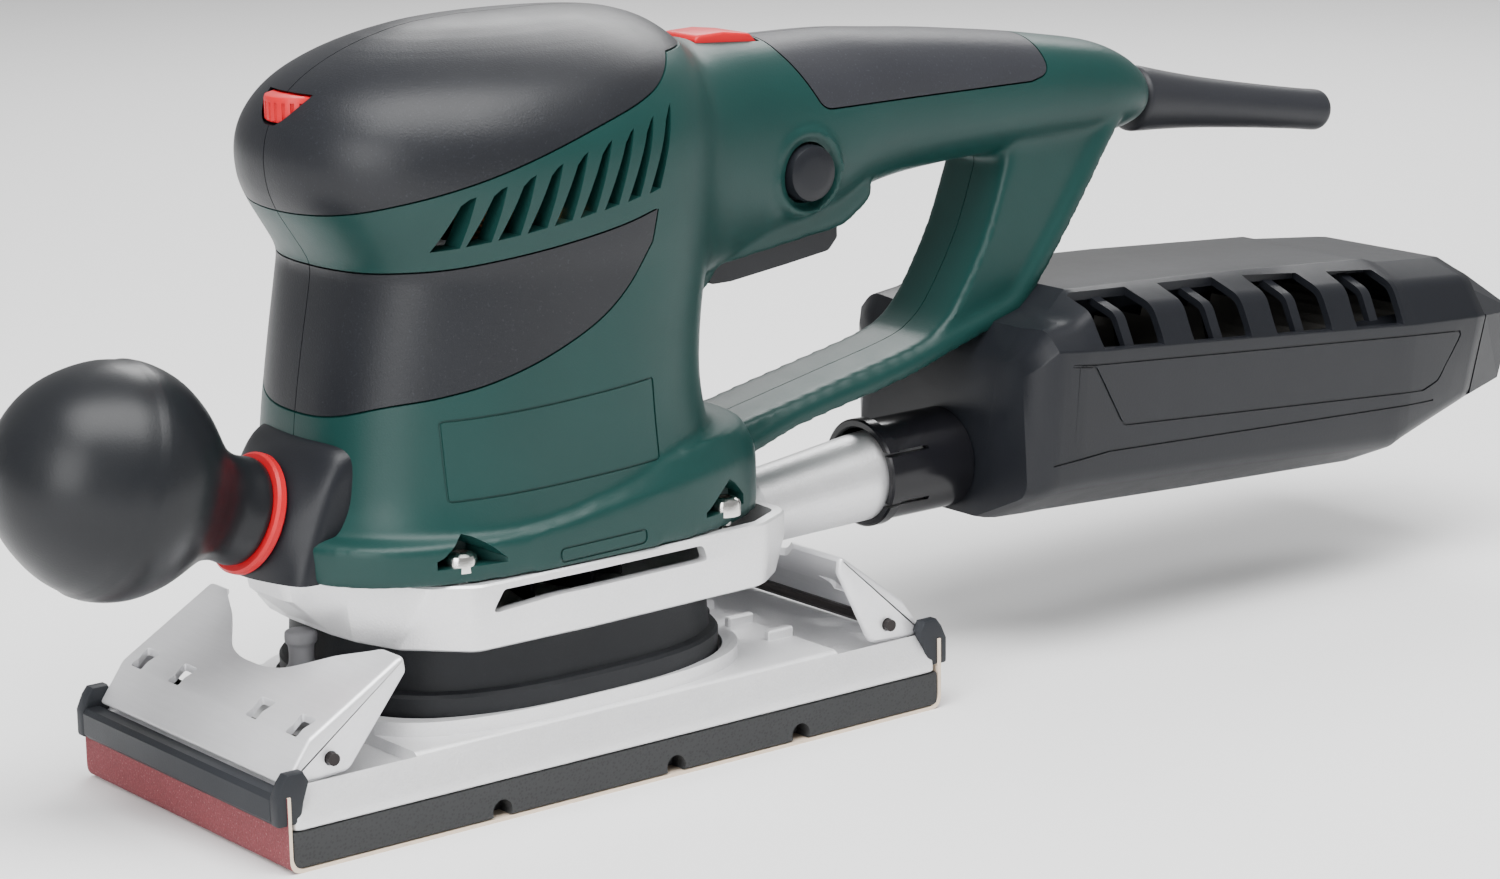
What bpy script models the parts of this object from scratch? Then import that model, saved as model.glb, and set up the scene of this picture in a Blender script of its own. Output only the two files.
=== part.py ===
"""Orbital finishing sander with D-handle, ball knob, two paper clamps and dust box.

Units are metres, +Z is up and +X points to the dust box. The origin is the centre of the
sanding face. Every separate piece of the machine is one closed solid in its own object.
"""
import math

import bmesh
import bpy
from mathutils import Matrix, Vector

MM = 0.001
GAP = 0.3 * MM              # space kept between two pieces that touch on the machine
RUNNING_GAP = 0.4 * MM      # space round a piece that slides or turns

# ---- sanding pad -------------------------------------------------------------------------
PAD_LENGTH = 190 * MM       # over the paper
PAD_WIDTH = 92 * MM
PAPER_THICKNESS = 0.8 * MM
FOAM_TOP = 9.5 * MM
FOAM_EDGE_RADIUS = 5 * MM
FOAM_NOTCH_RADIUS = 2.6 * MM
FOAM_NOTCHES = (-38 * MM, 12 * MM, 50 * MM)
PLATE_TOP = 20 * MM
PLATE_SIDE_SET_BACK = 4.5 * MM
PLATE_SLOPE_HEIGHT = 4 * MM
PLATE_END_SET_BACK = 4 * MM
PLATE_RIM_TOP = 23.5 * MM
PLATE_RIM_WALL = 2.2 * MM

# ---- drive line --------------------------------------------------------------------------
HUB_X = -8.5 * MM           # pad hub, also the middle of the motor housing
ORBIT = 1.1 * MM            # eccentricity: half of the orbit's diameter
MOTOR_X = HUB_X - ORBIT
BEARING_RADIUS = 13 * MM
BEARING_HEIGHT = 8 * MM
TOP_BEARING_RADIUS = 11 * MM
TOP_BEARING_HEIGHT = 7 * MM
SHAFT_RADIUS = 5 * MM
SHAFT_BOTTOM = 24.5 * MM
JOURNAL_RADIUS = 6 * MM
JOURNAL_BOTTOM = 11.8 * MM
WEIGHT_RADIUS = 20 * MM
WEIGHT_BOTTOM = 23 * MM
WEIGHT_HEIGHT = 7 * MM
FAN_RADIUS = 34 * MM
FAN_BOTTOM = 45 * MM
FAN_HEIGHT = 9 * MM
FAN_BLADES = 12
STATOR_RADIUS = 34 * MM
STATOR_BORE = 22.5 * MM
STATOR_HEIGHT = 40 * MM
ARMATURE_RADIUS = 21.8 * MM
COMMUTATOR_RADIUS = 13 * MM
COMMUTATOR_HEIGHT = 13 * MM
BRUSH_WIDTH = 8 * MM
BRUSH_HEIGHT = 9 * MM

# ---- moulded housing ---------------------------------------------------------------------
WALL = 2.6 * MM             # wall behind the soft grips
GRIP_DEPTH = 1.8 * MM       # thickness of the soft grips
SHELL_BOTTOM = 56.5 * MM
STATOR_SEAT = 83.7 * MM
SEAT_HEIGHT = 4 * MM
SEAT_BORE = 29 * MM
WEB_BOTTOM = 146.8 * MM     # cross wall that carries the top bearing
WEB_HEIGHT = 8 * MM
# z, front x, rear x, half width, squareness of each level of the motor housing
HEAD_LEVELS = (
    (56.5, -72.0, 58.0, 44.5, 2.9),
    (63.0, -70.5, 57.0, 44.5, 2.9),
    (68.5, -65.0, 50.0, 42.6, 2.7),
    (76.0, -62.5, 46.0, 41.8, 2.6),
    (92.0, -61.0, 44.0, 41.5, 2.5),
    (107.0, -58.5, 45.0, 41.5, 2.5),
    (125.0, -55.0, 48.0, 42.5, 2.5),
    (131.0, -58.0, 49.0, 43.5, 2.4),
    (139.0, -63.0, 50.0, 44.6, 2.3),
    (150.0, -66.0, 50.0, 45.0, 2.3),
    (159.0, -64.5, 49.0, 42.8, 2.3),
    (166.5, -59.0, 47.5, 37.5, 2.2),
    (173.0, -46.5, 40.0, 28.5, 2.2),
    (177.5, -32.0, 27.0, 17.5, 2.1),
    (179.6, -16.0, 9.0, 7.5, 2.0),
)
# x, bottom z, top z, half width of each section of the grip bar
HANDLE_SECTIONS = (
    (12.0, 120.0, 166.0, 30.0),
    (46.0, 110.0, 168.0, 26.0),
    (62.0, 114.0, 168.0, 22.0),
    (89.0, 118.5, 166.5, 19.5),
    (99.0, 124.0, 166.0, 18.5),
    (127.0, 128.0, 163.5, 17.5),
    (156.0, 129.0, 160.0, 17.0),
    (184.0, 129.0, 155.5, 15.5),
    (195.0, 130.0, 150.5, 13.0),
    (202.0, 132.0, 146.0, 9.5),
)
HANDLE_SQUARENESS = 2.5
STRUT_OUTLINE = (
    (168, 140), (186, 135), (172, 115), (161, 101), (151, 88), (144, 86), (110, 76),
    (77, 69), (57, 62), (38, 62), (38, 70), (51, 70.5), (65, 73.5), (91, 79), (120, 85),
    (131, 94), (141, 111), (148, 132), (152, 140),
)
STRUT_HALF_WIDTH = 13 * MM
STRUT_CHAMFER = 3.5 * MM
CAP_EDGE = (
    (-76, 136.5), (-63, 139), (-57, 143), (-44, 147), (-30, 149), (-17, 152), (-3, 157),
    (9, 161.5), (20, 165.3), (32, 167), (49, 167.8),
)
BAND_OUTLINE = (
    (-72, 124), (-58, 126.5), (-45, 129), (-31, 129), (-18, 130), (-4, 132), (12.5, 135.3),
    (11, 128), (5, 119), (-4, 112), (-18, 106), (-32, 101), (-43, 98.7), (-54, 96.5),
    (-64, 91), (-72, 89),
)
HANDLE_GRIP_OUTLINE = (
    (72, 175), (72, 165), (75, 160), (81, 152.5), (87, 149), (99, 148), (125, 149),
    (154, 149), (157, 153), (156, 160), (153, 175),
)
VENT_COUNT = 9
VENT_WIDTH = 4.2 * MM
VENT_FOOT = ((-48.5, 133.5), (11, 140.5))      # first and last vent at their lower ends
VENT_HEAD = ((-38.5, 143.5), (18.5, 160.5))    # the same at their upper ends

# ---- controls ----------------------------------------------------------------------------
TRIGGER_OUTLINE = ((53, 107.5), (60, 107.5), (91, 111.5), (94, 114), (94, 121.5), (53, 121.5))
TRIGGER_HALF_WIDTH = 8.5 * MM
TRIGGER_TRAVEL = 4 * MM
LOCK_X = 75 * MM
LOCK_Z = 134.5 * MM
LOCK_RADIUS = 7 * MM
LOCK_FLANGE_RADIUS = 8.2 * MM
LOCK_FACE_Y = -23.5 * MM
LOCK_FLANGE_Y = -15.7 * MM
LOCK_FLANGE_DEPTH = 1.5 * MM
LOCK_TRAVEL = 3 * MM
BOOST_X = (51.5 * MM, 70.5 * MM)
BOOST_HALF_WIDTH = 7 * MM
BOOST_TOP = 169.2 * MM
BOOST_HEIGHT = 7 * MM
BOOST_TRAVEL = 1.5 * MM
DIAL_RADIUS = 9 * MM
DIAL_HEIGHT = 6 * MM
DIAL_CENTRE = (-55.0 * MM, 0.0, 162.6 * MM)
SLEEVE_START = Vector((186, 0, 140)) * MM
SLEEVE_END = Vector((276, 0, 126.5)) * MM
SLEEVE_PROFILE = ((0, 5.0), (0, 7.0), (12, 7.0), (12.5, 5.4), (15.5, 5.4), (16, 9.0),
                  (40, 7.0), (88, 5.8), (91, 5.0))
CORD_BORE_RADIUS = 4 * MM
CORD_BORE_DEPTH = 14 * MM

# ---- knob --------------------------------------------------------------------------------
KNOB_ORIGIN = Vector((-74.8, 0, 70.5)) * MM
KNOB_TILT = math.radians(21.3)
KNOB_AXIS = Vector((-math.cos(KNOB_TILT), 0, math.sin(KNOB_TILT)))
# distance along the knob's axis and radius there
KNOB_PROFILE = ((1.7, 12.6), (8, 12.3), (12, 13.4), (16.5, 16.6), (21.5, 21.8), (27, 25.8),
                (33, 27.7), (42, 27.7), (48.5, 26.4), (56, 22.4), (62, 16), (65.2, 9.5),
                (66, 4))
RING_THICKNESS = 2.6 * MM
RING_RADIUS = 14.6 * MM
STUD_RADIUS = 4 * MM
STUD_REACH = (-9 * MM, 14 * MM)
BRACKET_HALF_WIDTH = 20 * MM
BRACKET_BOTTOM = 56.7 * MM

# ---- alloy lower housing -----------------------------------------------------------------
HOUSING_TOP = 56.2 * MM
HOUSING_FLOOR = 40.5 * MM
HOUSING_FLOOR_THICKNESS = 3 * MM
HOUSING_WALL = 3 * MM
BOSS_RADIUS = 17 * MM
BOSS_BOTTOM = 31.5 * MM
HOUSING_LEVELS = (
    (40.5, -64.5, 50.0, 41.0, 2.8),
    (45.0, -68.0, 55.0, 43.6, 2.9),
    (51.0, -71.0, 57.5, 44.5, 2.9),
    (56.2, -72.0, 58.0, 44.5, 2.9),
)
SIDE_SLOT_X = (-37 * MM, 24 * MM)
SIDE_SLOT_Z = (50 * MM, 54.4 * MM)
FLANGE_SCREW_X = (-42 * MM, 34 * MM)
FLANGE_SCREW_Y = 38 * MM
FLANGE_SCREW_SEAT = 60.5 * MM
SCREW_HEAD_RADIUS = 3.9 * MM
SCREW_HEAD_HEIGHT = 2.8 * MM
SCREW_RADIUS = 2 * MM
SCREW_LENGTH = 13 * MM
SHELL_SCREWS = ((36, 99), (143, 93), (163, 119), (178, 142))
SHELL_SCREW_HEAD_Y = 9 * MM
TUBE_PROFILE = ((2, 8.2), (14, 8.2), (54, 11.4), (68, 11.4))
TUBE_WALL = 1.6 * MM
TUBE_SPIGOT_WALL = 1.8 * MM
TUBE_SEAT_DEPTH = 8 * MM     # length of tube inside the spigot
TUBE_START = Vector((54, 0, 45.2)) * MM
TUBE_END = Vector((122, 0, 50)) * MM

# ---- boot and legs -----------------------------------------------------------------------
BOOT_X = -6 * MM            # middle of the boot
BOOT_HALF_LENGTH = 50 * MM
BOOT_HALF_WIDTH = 38.6 * MM
BOOT_WALL = 2.6 * MM
BOOT_LIP = 2.4 * MM
BOOT_LIP_TOP = 28.5 * MM
LEG_RADIUS = 3.8 * MM
END_LEG_X = 56 * MM         # from the middle of the boot to the posts at its two ends
SIDE_LEG_Y = 30 * MM        # to the posts inside the boot
LEG_FOOT_RADIUS = 6.4 * MM  # tongue of the boot under an end post

# ---- paper clamps ------------------------------------------------------------------------
SHEET = 1.6 * MM
LEVER_HALF_WIDTH = PAD_WIDTH / 2 - 4 * MM
LEVER_FOOT = (-1.6, 19.0)   # distance past the pad's end and height of the lever's lower edge
LEVER_BEND = (-8.6, 28.6)
FRONT_HORN = (-34.5, 43.6)
REAR_HORN = (-28.5, 43.6)
PIN_AT = (-14.0, 23.4)
PIN_RADIUS = 1.5 * MM
PIN_HALF_LENGTH = LEVER_HALF_WIDTH + 1.6 * MM
JAW_OUTLINE = ((-0.6, 10.9), (-2.4, 16.4), (-0.8, 18.4), (2.4, 16.6), (2.4, 11.6))
JAW_HOOK = ((1.8, 12), (-1.4, 17.2), (-3.6, 20.4), (-1.8, 23.2), (1.4, 20.4), (2.2, 16))
JAW_HALF_LENGTH = PAD_WIDTH / 2 - MM
LEVER_NOTCH = ((-16.5, 0), (-17.5, 12), (-21, 20), (-27, 27))
WINDOW_SET_BACK = (6.4 * MM, 18 * MM)    # from the lever's side to the two windows' middles
SPRING_Y = 27 * MM
SPRING_RADIUS = 2.4 * MM
SPRING_WIRE = 0.5 * MM
SPRING_TURNS = 4
SPRING_PITCH = 1.5 * MM
EAR_Y = (17 * MM, 21 * MM)

# ---- dust box ----------------------------------------------------------------------------
COLLAR_X = (108 * MM, 135.2 * MM)
COLLAR_WALL = 2.4 * MM
BOX_FRONT = 135.5 * MM
BOX_REAR = 302 * MM
BOX_WALL = 2.2 * MM
# x, bottom, chamfer, crease, eaves and roof heights, then the half widths of the first four
BOX_SECTIONS = (
    (135.5, 34, 47, 76, 80, 82, 26, 36, 38, 26),
    (150.0, 32, 46, 76.3, 83, 84.5, 27, 37, 40.5, 26),
    (160.0, 31.8, 45.5, 76, 89.5, 93.5, 27, 37, 40.5, 23),
    (270.0, 30, 38, 71.5, 83, 87, 27, 37, 40.5, 23),
    (302.0, 41, 47, 70.3, 80, 84, 24, 34, 39.5, 21),
)
WINDOW_XS = ((164, 186), (193, 215), (222, 244), (251, 270))
WINDOW_Z = (79 * MM, 91 * MM)
WINDOW_Y = (27 * MM, 45 * MM)
FRAME_CLEARANCE = 1.6 * MM
END_WALL = 15 * MM
FRAME_RAIL = 3 * MM
CARTRIDGE_FRONT = 162 * MM
FILTER_PLEATS = 14
FILTER_Z = (52 * MM, 72 * MM)

RING_POINTS = 22
SMOOTH_ANGLE = math.radians(35)


# ---- finishes ----------------------------------------------------------------------------
def finish(name, colour, roughness, metallic=0.0):
    """Return the Principled material with this name, made on first use."""
    material = bpy.data.materials.get(name)
    if material is None:
        material = bpy.data.materials.new(name)
        material.use_nodes = True
        shader = material.node_tree.nodes["Principled BSDF"]
        shader.inputs["Base Color"].default_value = (*colour, 1.0)
        shader.inputs["Roughness"].default_value = roughness
        shader.inputs["Metallic"].default_value = metallic
    return material


FINISHES = {
    "green_plastic": ((0.014, 0.075, 0.055), 0.45, 0.0),
    "soft_grip": ((0.045, 0.047, 0.052), 0.6, 0.0),
    "black_plastic": ((0.015, 0.015, 0.017), 0.35, 0.0),
    "satin_knob": ((0.02, 0.021, 0.023), 0.4, 0.0),
    "red_plastic": ((0.55, 0.01, 0.015), 0.35, 0.0),
    "cast_alloy": ((0.62, 0.62, 0.63), 0.35, 0.9),
    "black_rubber": ((0.018, 0.018, 0.019), 0.7, 0.0),
    "pressed_steel": ((0.6, 0.6, 0.61), 0.28, 1.0),
    "dark_steel": ((0.06, 0.055, 0.05), 0.4, 1.0),
    "bright_steel": ((0.75, 0.75, 0.76), 0.2, 1.0),
    "laminated_steel": ((0.35, 0.35, 0.36), 0.5, 0.9),
    "copper": ((0.75, 0.33, 0.15), 0.35, 1.0),
    "brass": ((0.72, 0.52, 0.2), 0.35, 1.0),
    "abrasive": ((0.18, 0.03, 0.03), 0.95, 0.0),
    "foam": ((0.02, 0.02, 0.02), 0.9, 0.0),
    "filter_paper": ((0.78, 0.74, 0.64), 0.9, 0.0),
    "grey_rubber": ((0.16, 0.16, 0.165), 0.6, 0.0),
}


# ---- making objects ----------------------------------------------------------------------
def settle(bm):
    """Merge doubled points and turn every face outwards."""
    bmesh.ops.remove_doubles(bm, verts=bm.verts, dist=0.00001)
    bmesh.ops.recalc_face_normals(bm, faces=bm.faces)
    return bm


def place(name, bm, origin=(0, 0, 0)):
    """Put a bmesh in the scene as an object whose origin is at the given point."""
    mesh = bpy.data.meshes.new(name)
    settle(bm).to_mesh(mesh)
    bm.free()
    mesh.transform(Matrix.Translation(-Vector(origin)))
    obj = bpy.data.objects.new(name, mesh)
    obj.location = origin
    bpy.context.collection.objects.link(obj)
    return obj


def piece(name, bm, finish_name, origin=(0, 0, 0)):
    """Make one named piece of the machine."""
    obj = place(name, bm, origin)
    obj.data.materials.append(finish(finish_name, *FINISHES[finish_name]))
    obj.data.shade_smooth()
    obj.data.set_sharp_from_angle(angle=SMOOTH_ANGLE)
    return obj


def former(name, bm):
    """Make a hidden solid that shapes other pieces."""
    obj = place(name, bm)
    obj.hide_render = True
    obj.display_type = "WIRE"
    return obj


def combine(obj, operation, *others, solver="EXACT"):
    """Add one Boolean modifier for each of the other solids.

    The manifold solver is for the mouldings, whose many close cuts the exact one leaves open.
    """
    for other in others:
        modifier = obj.modifiers.new(other.name, "BOOLEAN")
        modifier.operation = operation
        modifier.solver = solver
        modifier.object = other
    return obj


def mould(obj, operation, *others):
    """Add Boolean modifiers with the manifold solver."""
    return combine(obj, operation, *others, solver="MANIFOLD")


# ---- basic shapes ------------------------------------------------------------------------
def loft(rings):
    """Close a skin over rings of points that match one another."""
    bm = bmesh.new()
    rows = [[bm.verts.new(point) for point in ring] for ring in rings]
    count = len(rows[0])
    for low, high in zip(rows, rows[1:]):
        for i in range(count):
            j = (i + 1) % count
            bm.faces.new((low[i], low[j], high[j], high[i]))
    bm.faces.new(rows[0])
    bm.faces.new(rows[-1])
    return bm


def block(low, high):
    """Return a box between two corners."""
    low, high = Vector(low), Vector(high)
    bm = bmesh.new()
    bmesh.ops.create_cube(bm, size=1.0)
    bmesh.ops.scale(bm, vec=high - low, verts=bm.verts)
    bmesh.ops.translate(bm, vec=(low + high) / 2, verts=bm.verts)
    return bm


def prism(outline, low, high, across="Y"):
    """Extrude an outline: (x, z) points across Y, (x, y) points up Z, (y, z) points along X."""
    def at(point, level):
        a, b = point
        if across == "Y":
            return (a, level, b)
        if across == "Z":
            return (a, b, level)
        return (level, a, b)
    return loft([[at(point, level) for point in outline] for level in (low, high)])


def millimetres(points):
    """Return an outline given in millimetres as metres."""
    return [tuple(value * MM for value in point) for point in points]


def turned(profile, start, direction, steps=32):
    """Turn (distance, radius) points about an axis, closed on the axis at both ends."""
    start, direction = Vector(start), Vector(direction).normalized()
    side = direction.orthogonal().normalized()
    bm = bmesh.new()
    path = [(profile[0][0], 0.0), *profile, (profile[-1][0], 0.0)]
    points = [bm.verts.new(start + direction * along + side * out) for along, out in path]
    edges = [bm.edges.new(pair) for pair in zip(points, points[1:])]
    bmesh.ops.spin(bm, geom=points + edges, cent=start, axis=direction, angle=math.tau,
                   steps=steps, use_merge=True)
    return bm


def turned_ring(profile, start, direction, steps=32):
    """Turn a closed outline of (distance, radius) points that stays off the axis."""
    start, direction = Vector(start), Vector(direction).normalized()
    side = direction.orthogonal().normalized()
    bm = bmesh.new()
    points = [bm.verts.new(start + direction * along + side * out) for along, out in profile]
    edges = [bm.edges.new((points[i], points[i - 1])) for i in range(len(points))]
    bmesh.ops.spin(bm, geom=points + edges, cent=start, axis=direction, angle=math.tau,
                   steps=steps, use_merge=True)
    return bm


def drum(radius, low, high, centre=(0.0, 0.0), steps=32):
    """Return an upright cylinder."""
    return turned(((low, radius), (high, radius)), (*centre, 0), (0, 0, 1), steps)


def oval(front, rear, half_width, squareness, z, count=RING_POINTS):
    """Return a level superellipse as points."""
    middle, reach = (front + rear) / 2, (rear - front) / 2
    power = 2 / squareness
    points = []
    for i in range(count):
        angle = math.tau * i / count
        c, s = math.cos(angle), math.sin(angle)
        points.append((middle + math.copysign(abs(c) ** power, c) * reach,
                       math.copysign(abs(s) ** power, s) * half_width, z))
    return points


def rounded_rectangle(half_x, half_y, radius, z, steps=4):
    """Return a level rectangle with round corners as points."""
    points = []
    for quarter, (sx, sy) in enumerate(((1, 1), (-1, 1), (-1, -1), (1, -1))):
        for i in range(steps + 1):
            angle = (quarter + i / steps) * math.pi / 2
            points.append((sx * (half_x - radius) + radius * math.cos(angle),
                           sy * (half_y - radius) + radius * math.sin(angle), z))
    return points


def tuned(levels, inset):
    """Return housing levels in metres, drawn in by an inset on every side."""
    base, top = levels[0][0], levels[-1][0]
    shrink = (top - base - inset / MM) / (top - base)
    return [((base + (z - base) * shrink) * MM, front * MM + inset, rear * MM - inset,
             half_width * MM - inset, squareness)
            for z, front, rear, half_width, squareness in levels]


def head(inset, lift=0.0):
    """Return the motor housing's outer form, drawn in by an inset."""
    levels = [level for level in tuned(HEAD_LEVELS, inset) if level[3] > 2 * MM]
    rings = [oval(front, rear, half_width, squareness, z + lift)
             for z, front, rear, half_width, squareness in levels]
    return loft(rings)


def handle_section(x):
    """Return middle height, half height and half width of the grip bar at x, in metres."""
    for near, far in zip(HANDLE_SECTIONS, HANDLE_SECTIONS[1:]):
        if near[0] * MM <= x <= far[0] * MM:
            t = (x / MM - near[0]) / (far[0] - near[0])
            bottom, top, half = (a + (b - a) * t for a, b in zip(near[1:], far[1:]))
            return (top + bottom) / 2 * MM, (top - bottom) / 2 * MM, half * MM
    raise ValueError(f"x = {x} m is off the grip bar")


def handle(inset, end_inset=None, count=16):
    """Return the grip bar's form, drawn in by an inset."""
    start = HANDLE_SECTIONS[0][0] * MM
    end = HANDLE_SECTIONS[-1][0] * MM - (inset if end_inset is None else end_inset)
    stops = [row[0] * MM for row in HANDLE_SECTIONS if row[0] * MM < end - MM] + [end]
    power = 2 / HANDLE_SQUARENESS
    rings = []
    for x in stops:
        middle, half_height, half_width = handle_section(max(x, start))
        ring = []
        for i in range(count):
            angle = math.tau * i / count
            c, s = math.cos(angle), math.sin(angle)
            ring.append((x, math.copysign(abs(c) ** power, c) * (half_width - inset),
                         middle + math.copysign(abs(s) ** power, s) * (half_height - inset)))
        rings.append(ring)
    return loft(rings)


def strut():
    """Return the D-handle's strut with chamfered long edges."""
    bm = settle(prism(millimetres(STRUT_OUTLINE), -STRUT_HALF_WIDTH, STRUT_HALF_WIDTH))
    sides = [edge for edge in bm.edges
             if abs(abs(edge.verts[0].co.y) - STRUT_HALF_WIDTH) < GAP
             and abs(edge.verts[0].co.y - edge.verts[1].co.y) < GAP]
    bmesh.ops.bevel(bm, geom=sides, offset=STRUT_CHAMFER, segments=1, profile=0.5,
                    affect="EDGES", material=-1)
    return bm


# ---- housing shells ----------------------------------------------------------------------
def cap_region(grow):
    """Return the block of space that the top cap's soft grip fills."""
    edge = [(x, z - grow / MM) for x, z in CAP_EDGE]
    edge[-1] = (edge[-1][0] + grow / MM, edge[-1][1])
    outline = [*edge, (edge[-1][0], 190), (-76, 190)]
    return prism(millimetres(outline), -60 * MM, 60 * MM)


def grown(outline, grow):
    """Push an outline's points away from its middle by the given amount, in millimetres."""
    middle = Vector((sum(p[0] for p in outline), sum(p[1] for p in outline))) / len(outline)
    points = []
    for index, point in enumerate(outline):
        before, here = Vector(outline[index - 1]), Vector(point)
        after = Vector(outline[(index + 1) % len(outline)])
        along = (after - before).normalized()
        out = Vector((along.y, -along.x))
        if out.dot(here - middle) < 0:
            out = -out
        points.append(tuple(here + out * grow))
    return points


def band_region(grow):
    """Return the block of space that the lower grip band fills."""
    return prism(millimetres(grown(BAND_OUTLINE, grow / MM)), -60 * MM, 60 * MM)


def handle_grip_region(grow):
    """Return the block of space that the grip bar's soft grip fills."""
    return prism(millimetres(grown(HANDLE_GRIP_OUTLINE, grow / MM)), -40 * MM, 40 * MM)


def vent_cutter(index, side):
    """Return one slanted air slot through the green belt."""
    t = index / (VENT_COUNT - 1)
    foot = [a + (b - a) * t for a, b in zip(*VENT_FOOT)]
    top = [a + (b - a) * t for a, b in zip(*VENT_HEAD)]
    half = VENT_WIDTH / MM / 2
    outline = [(foot[0] - half, foot[1]), (foot[0] + half * 0.4, foot[1] + 0.4),
               (top[0] + half, top[1] - 2.5), (top[0] + half * 0.9, top[1])]
    return prism(millimetres(outline), side * 25 * MM, side * 60 * MM)


def screw_bosses():
    """Return the cross bosses that the housing screws run in."""
    return [former(f"boss_{index}", prism(
        [(x * MM + 5.4 * MM * math.cos(a), z * MM + 5.4 * MM * math.sin(a))
         for a in (math.tau * i / 12 for i in range(12))], -12.9 * MM, 12.9 * MM))
        for index, (x, z) in enumerate(SHELL_SCREWS[:1])]


def motor_space():
    """Return the hidden solids that hollow out the motor housing."""
    hollow = GRIP_DEPTH + WALL
    top = HEAD_LEVELS[-1][0] * MM
    span = 80 * MM
    chambers = []
    for name, low, high in (("fan_chamber", SHELL_BOTTOM - MM, STATOR_SEAT - SEAT_HEIGHT),
                            ("motor_chamber", STATOR_SEAT, WEB_BOTTOM),
                            ("cap_chamber", WEB_BOTTOM + WEB_HEIGHT, top)):
        slab = former(f"{name}_slab", block((-span, -span, low), (span, span, high)))
        lift = -0.5 * MM if name == "fan_chamber" else 0.0
        space = former(name, head(hollow, lift))
        chambers.append(combine(space, "INTERSECT", slab))
    motor = (MOTOR_X, 0.0)
    chambers.append(former("seat_bore", drum(SEAT_BORE, STATOR_SEAT - SEAT_HEIGHT - MM,
                                             STATOR_SEAT + MM, motor, 20)))
    chambers.append(former("bearing_bore", drum(TOP_BEARING_RADIUS + GAP, WEB_BOTTOM - MM,
                                                WEB_BOTTOM + WEB_HEIGHT + MM, motor, 20)))
    return chambers


def control_openings():
    """Return the cutters for the trigger, buttons, dial, cord sleeve and flange screws."""
    xs = [x * MM for x, z in TRIGGER_OUTLINE]
    dial_z = DIAL_CENTRE[2]
    lock = Vector((LOCK_X, 0, LOCK_Z))
    pocket = LOCK_FLANGE_Y - GAP
    cutters = [
        former("trigger_opening", block(
            (min(xs) - RUNNING_GAP, -TRIGGER_HALF_WIDTH - RUNNING_GAP, 100 * MM),
            (max(xs) + RUNNING_GAP, TRIGGER_HALF_WIDTH + RUNNING_GAP, 128 * MM))),
        former("boost_opening", block(
            (BOOST_X[0] - RUNNING_GAP, -BOOST_HALF_WIDTH - RUNNING_GAP, 155 * MM),
            (BOOST_X[1] + RUNNING_GAP, BOOST_HALF_WIDTH + RUNNING_GAP, 180 * MM))),
        former("dial_opening", drum(DIAL_RADIUS + RUNNING_GAP, dial_z - DIAL_HEIGHT / 2
                                    - RUNNING_GAP, dial_z + DIAL_HEIGHT / 2 + RUNNING_GAP,
                                    DIAL_CENTRE[:2], 16)),
        former("lock_bore", turned(((-40 * MM, LOCK_RADIUS + RUNNING_GAP),
                                    (pocket, LOCK_RADIUS + RUNNING_GAP),
                                    (pocket, LOCK_FLANGE_RADIUS + RUNNING_GAP),
                                    (-8 * MM, LOCK_FLANGE_RADIUS + RUNNING_GAP)),
                                   lock, (0, 1, 0), 16)),
        former("sleeve_bore", cord_sleeve_form(GAP)),
        former("stud_hole", turned(((STUD_REACH[0] - GAP, STUD_RADIUS + GAP),
                                    (0, STUD_RADIUS + GAP)), KNOB_ORIGIN, KNOB_AXIS, 12)),
    ]
    for index, (x, side) in enumerate((x, side) for x in FLANGE_SCREW_X for side in (-1, 1)):
        centre = (x, side * FLANGE_SCREW_Y)
        profile = ((SHELL_BOTTOM - MM, SCREW_RADIUS + GAP),
                   (FLANGE_SCREW_SEAT - GAP, SCREW_RADIUS + GAP),
                   (FLANGE_SCREW_SEAT - GAP, SCREW_HEAD_RADIUS + RUNNING_GAP),
                   (FLANGE_SCREW_SEAT + 14 * MM, SCREW_HEAD_RADIUS + RUNNING_GAP))
        cutters.append(former(f"flange_screw_pocket_{index}",
                              turned(profile, (*centre, 0), (0, 0, 1), 10)))
    for index, (x, z) in enumerate(SHELL_SCREWS):
        cutters.append(former(f"shell_screw_bore_{index}",
                              shell_screw_form(x, z, GAP, 40 * MM)))
    return cutters


def head_skin(name, region, grow, depth, extra):
    """Return a hidden solid: the outer skin of the housing within a region."""
    skin = former(name, region(grow))
    form = former(f"{name}_form", head(-extra))
    core = former(f"{name}_core", head(depth))
    return combine(combine(skin, "INTERSECT", form), "DIFFERENCE", core)


def handle_skin(name, grow, depth, extra):
    """Return a hidden solid: the outer skin of the grip bar where the soft grip lies."""
    skin = former(name, handle_grip_region(grow))
    form = former(f"{name}_form", handle(-extra, 0))
    core = former(f"{name}_core", handle(depth, 0))
    return combine(combine(skin, "INTERSECT", form), "DIFFERENCE", core)


def halves(stem, finish_name, master):
    """Split a hidden master solid at the middle plane into a left and a right piece."""
    seam, reach = GAP / 2, 70 * MM
    pieces = []
    for side, low, high in (("left", -reach, -seam), ("right", seam, reach)):
        slab = block((-90 * MM, low, 50 * MM), (215 * MM, high, 190 * MM))
        pieces.append(mould(piece(f"{stem}_{side}", slab, finish_name), "INTERSECT", master))
    return pieces


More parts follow.
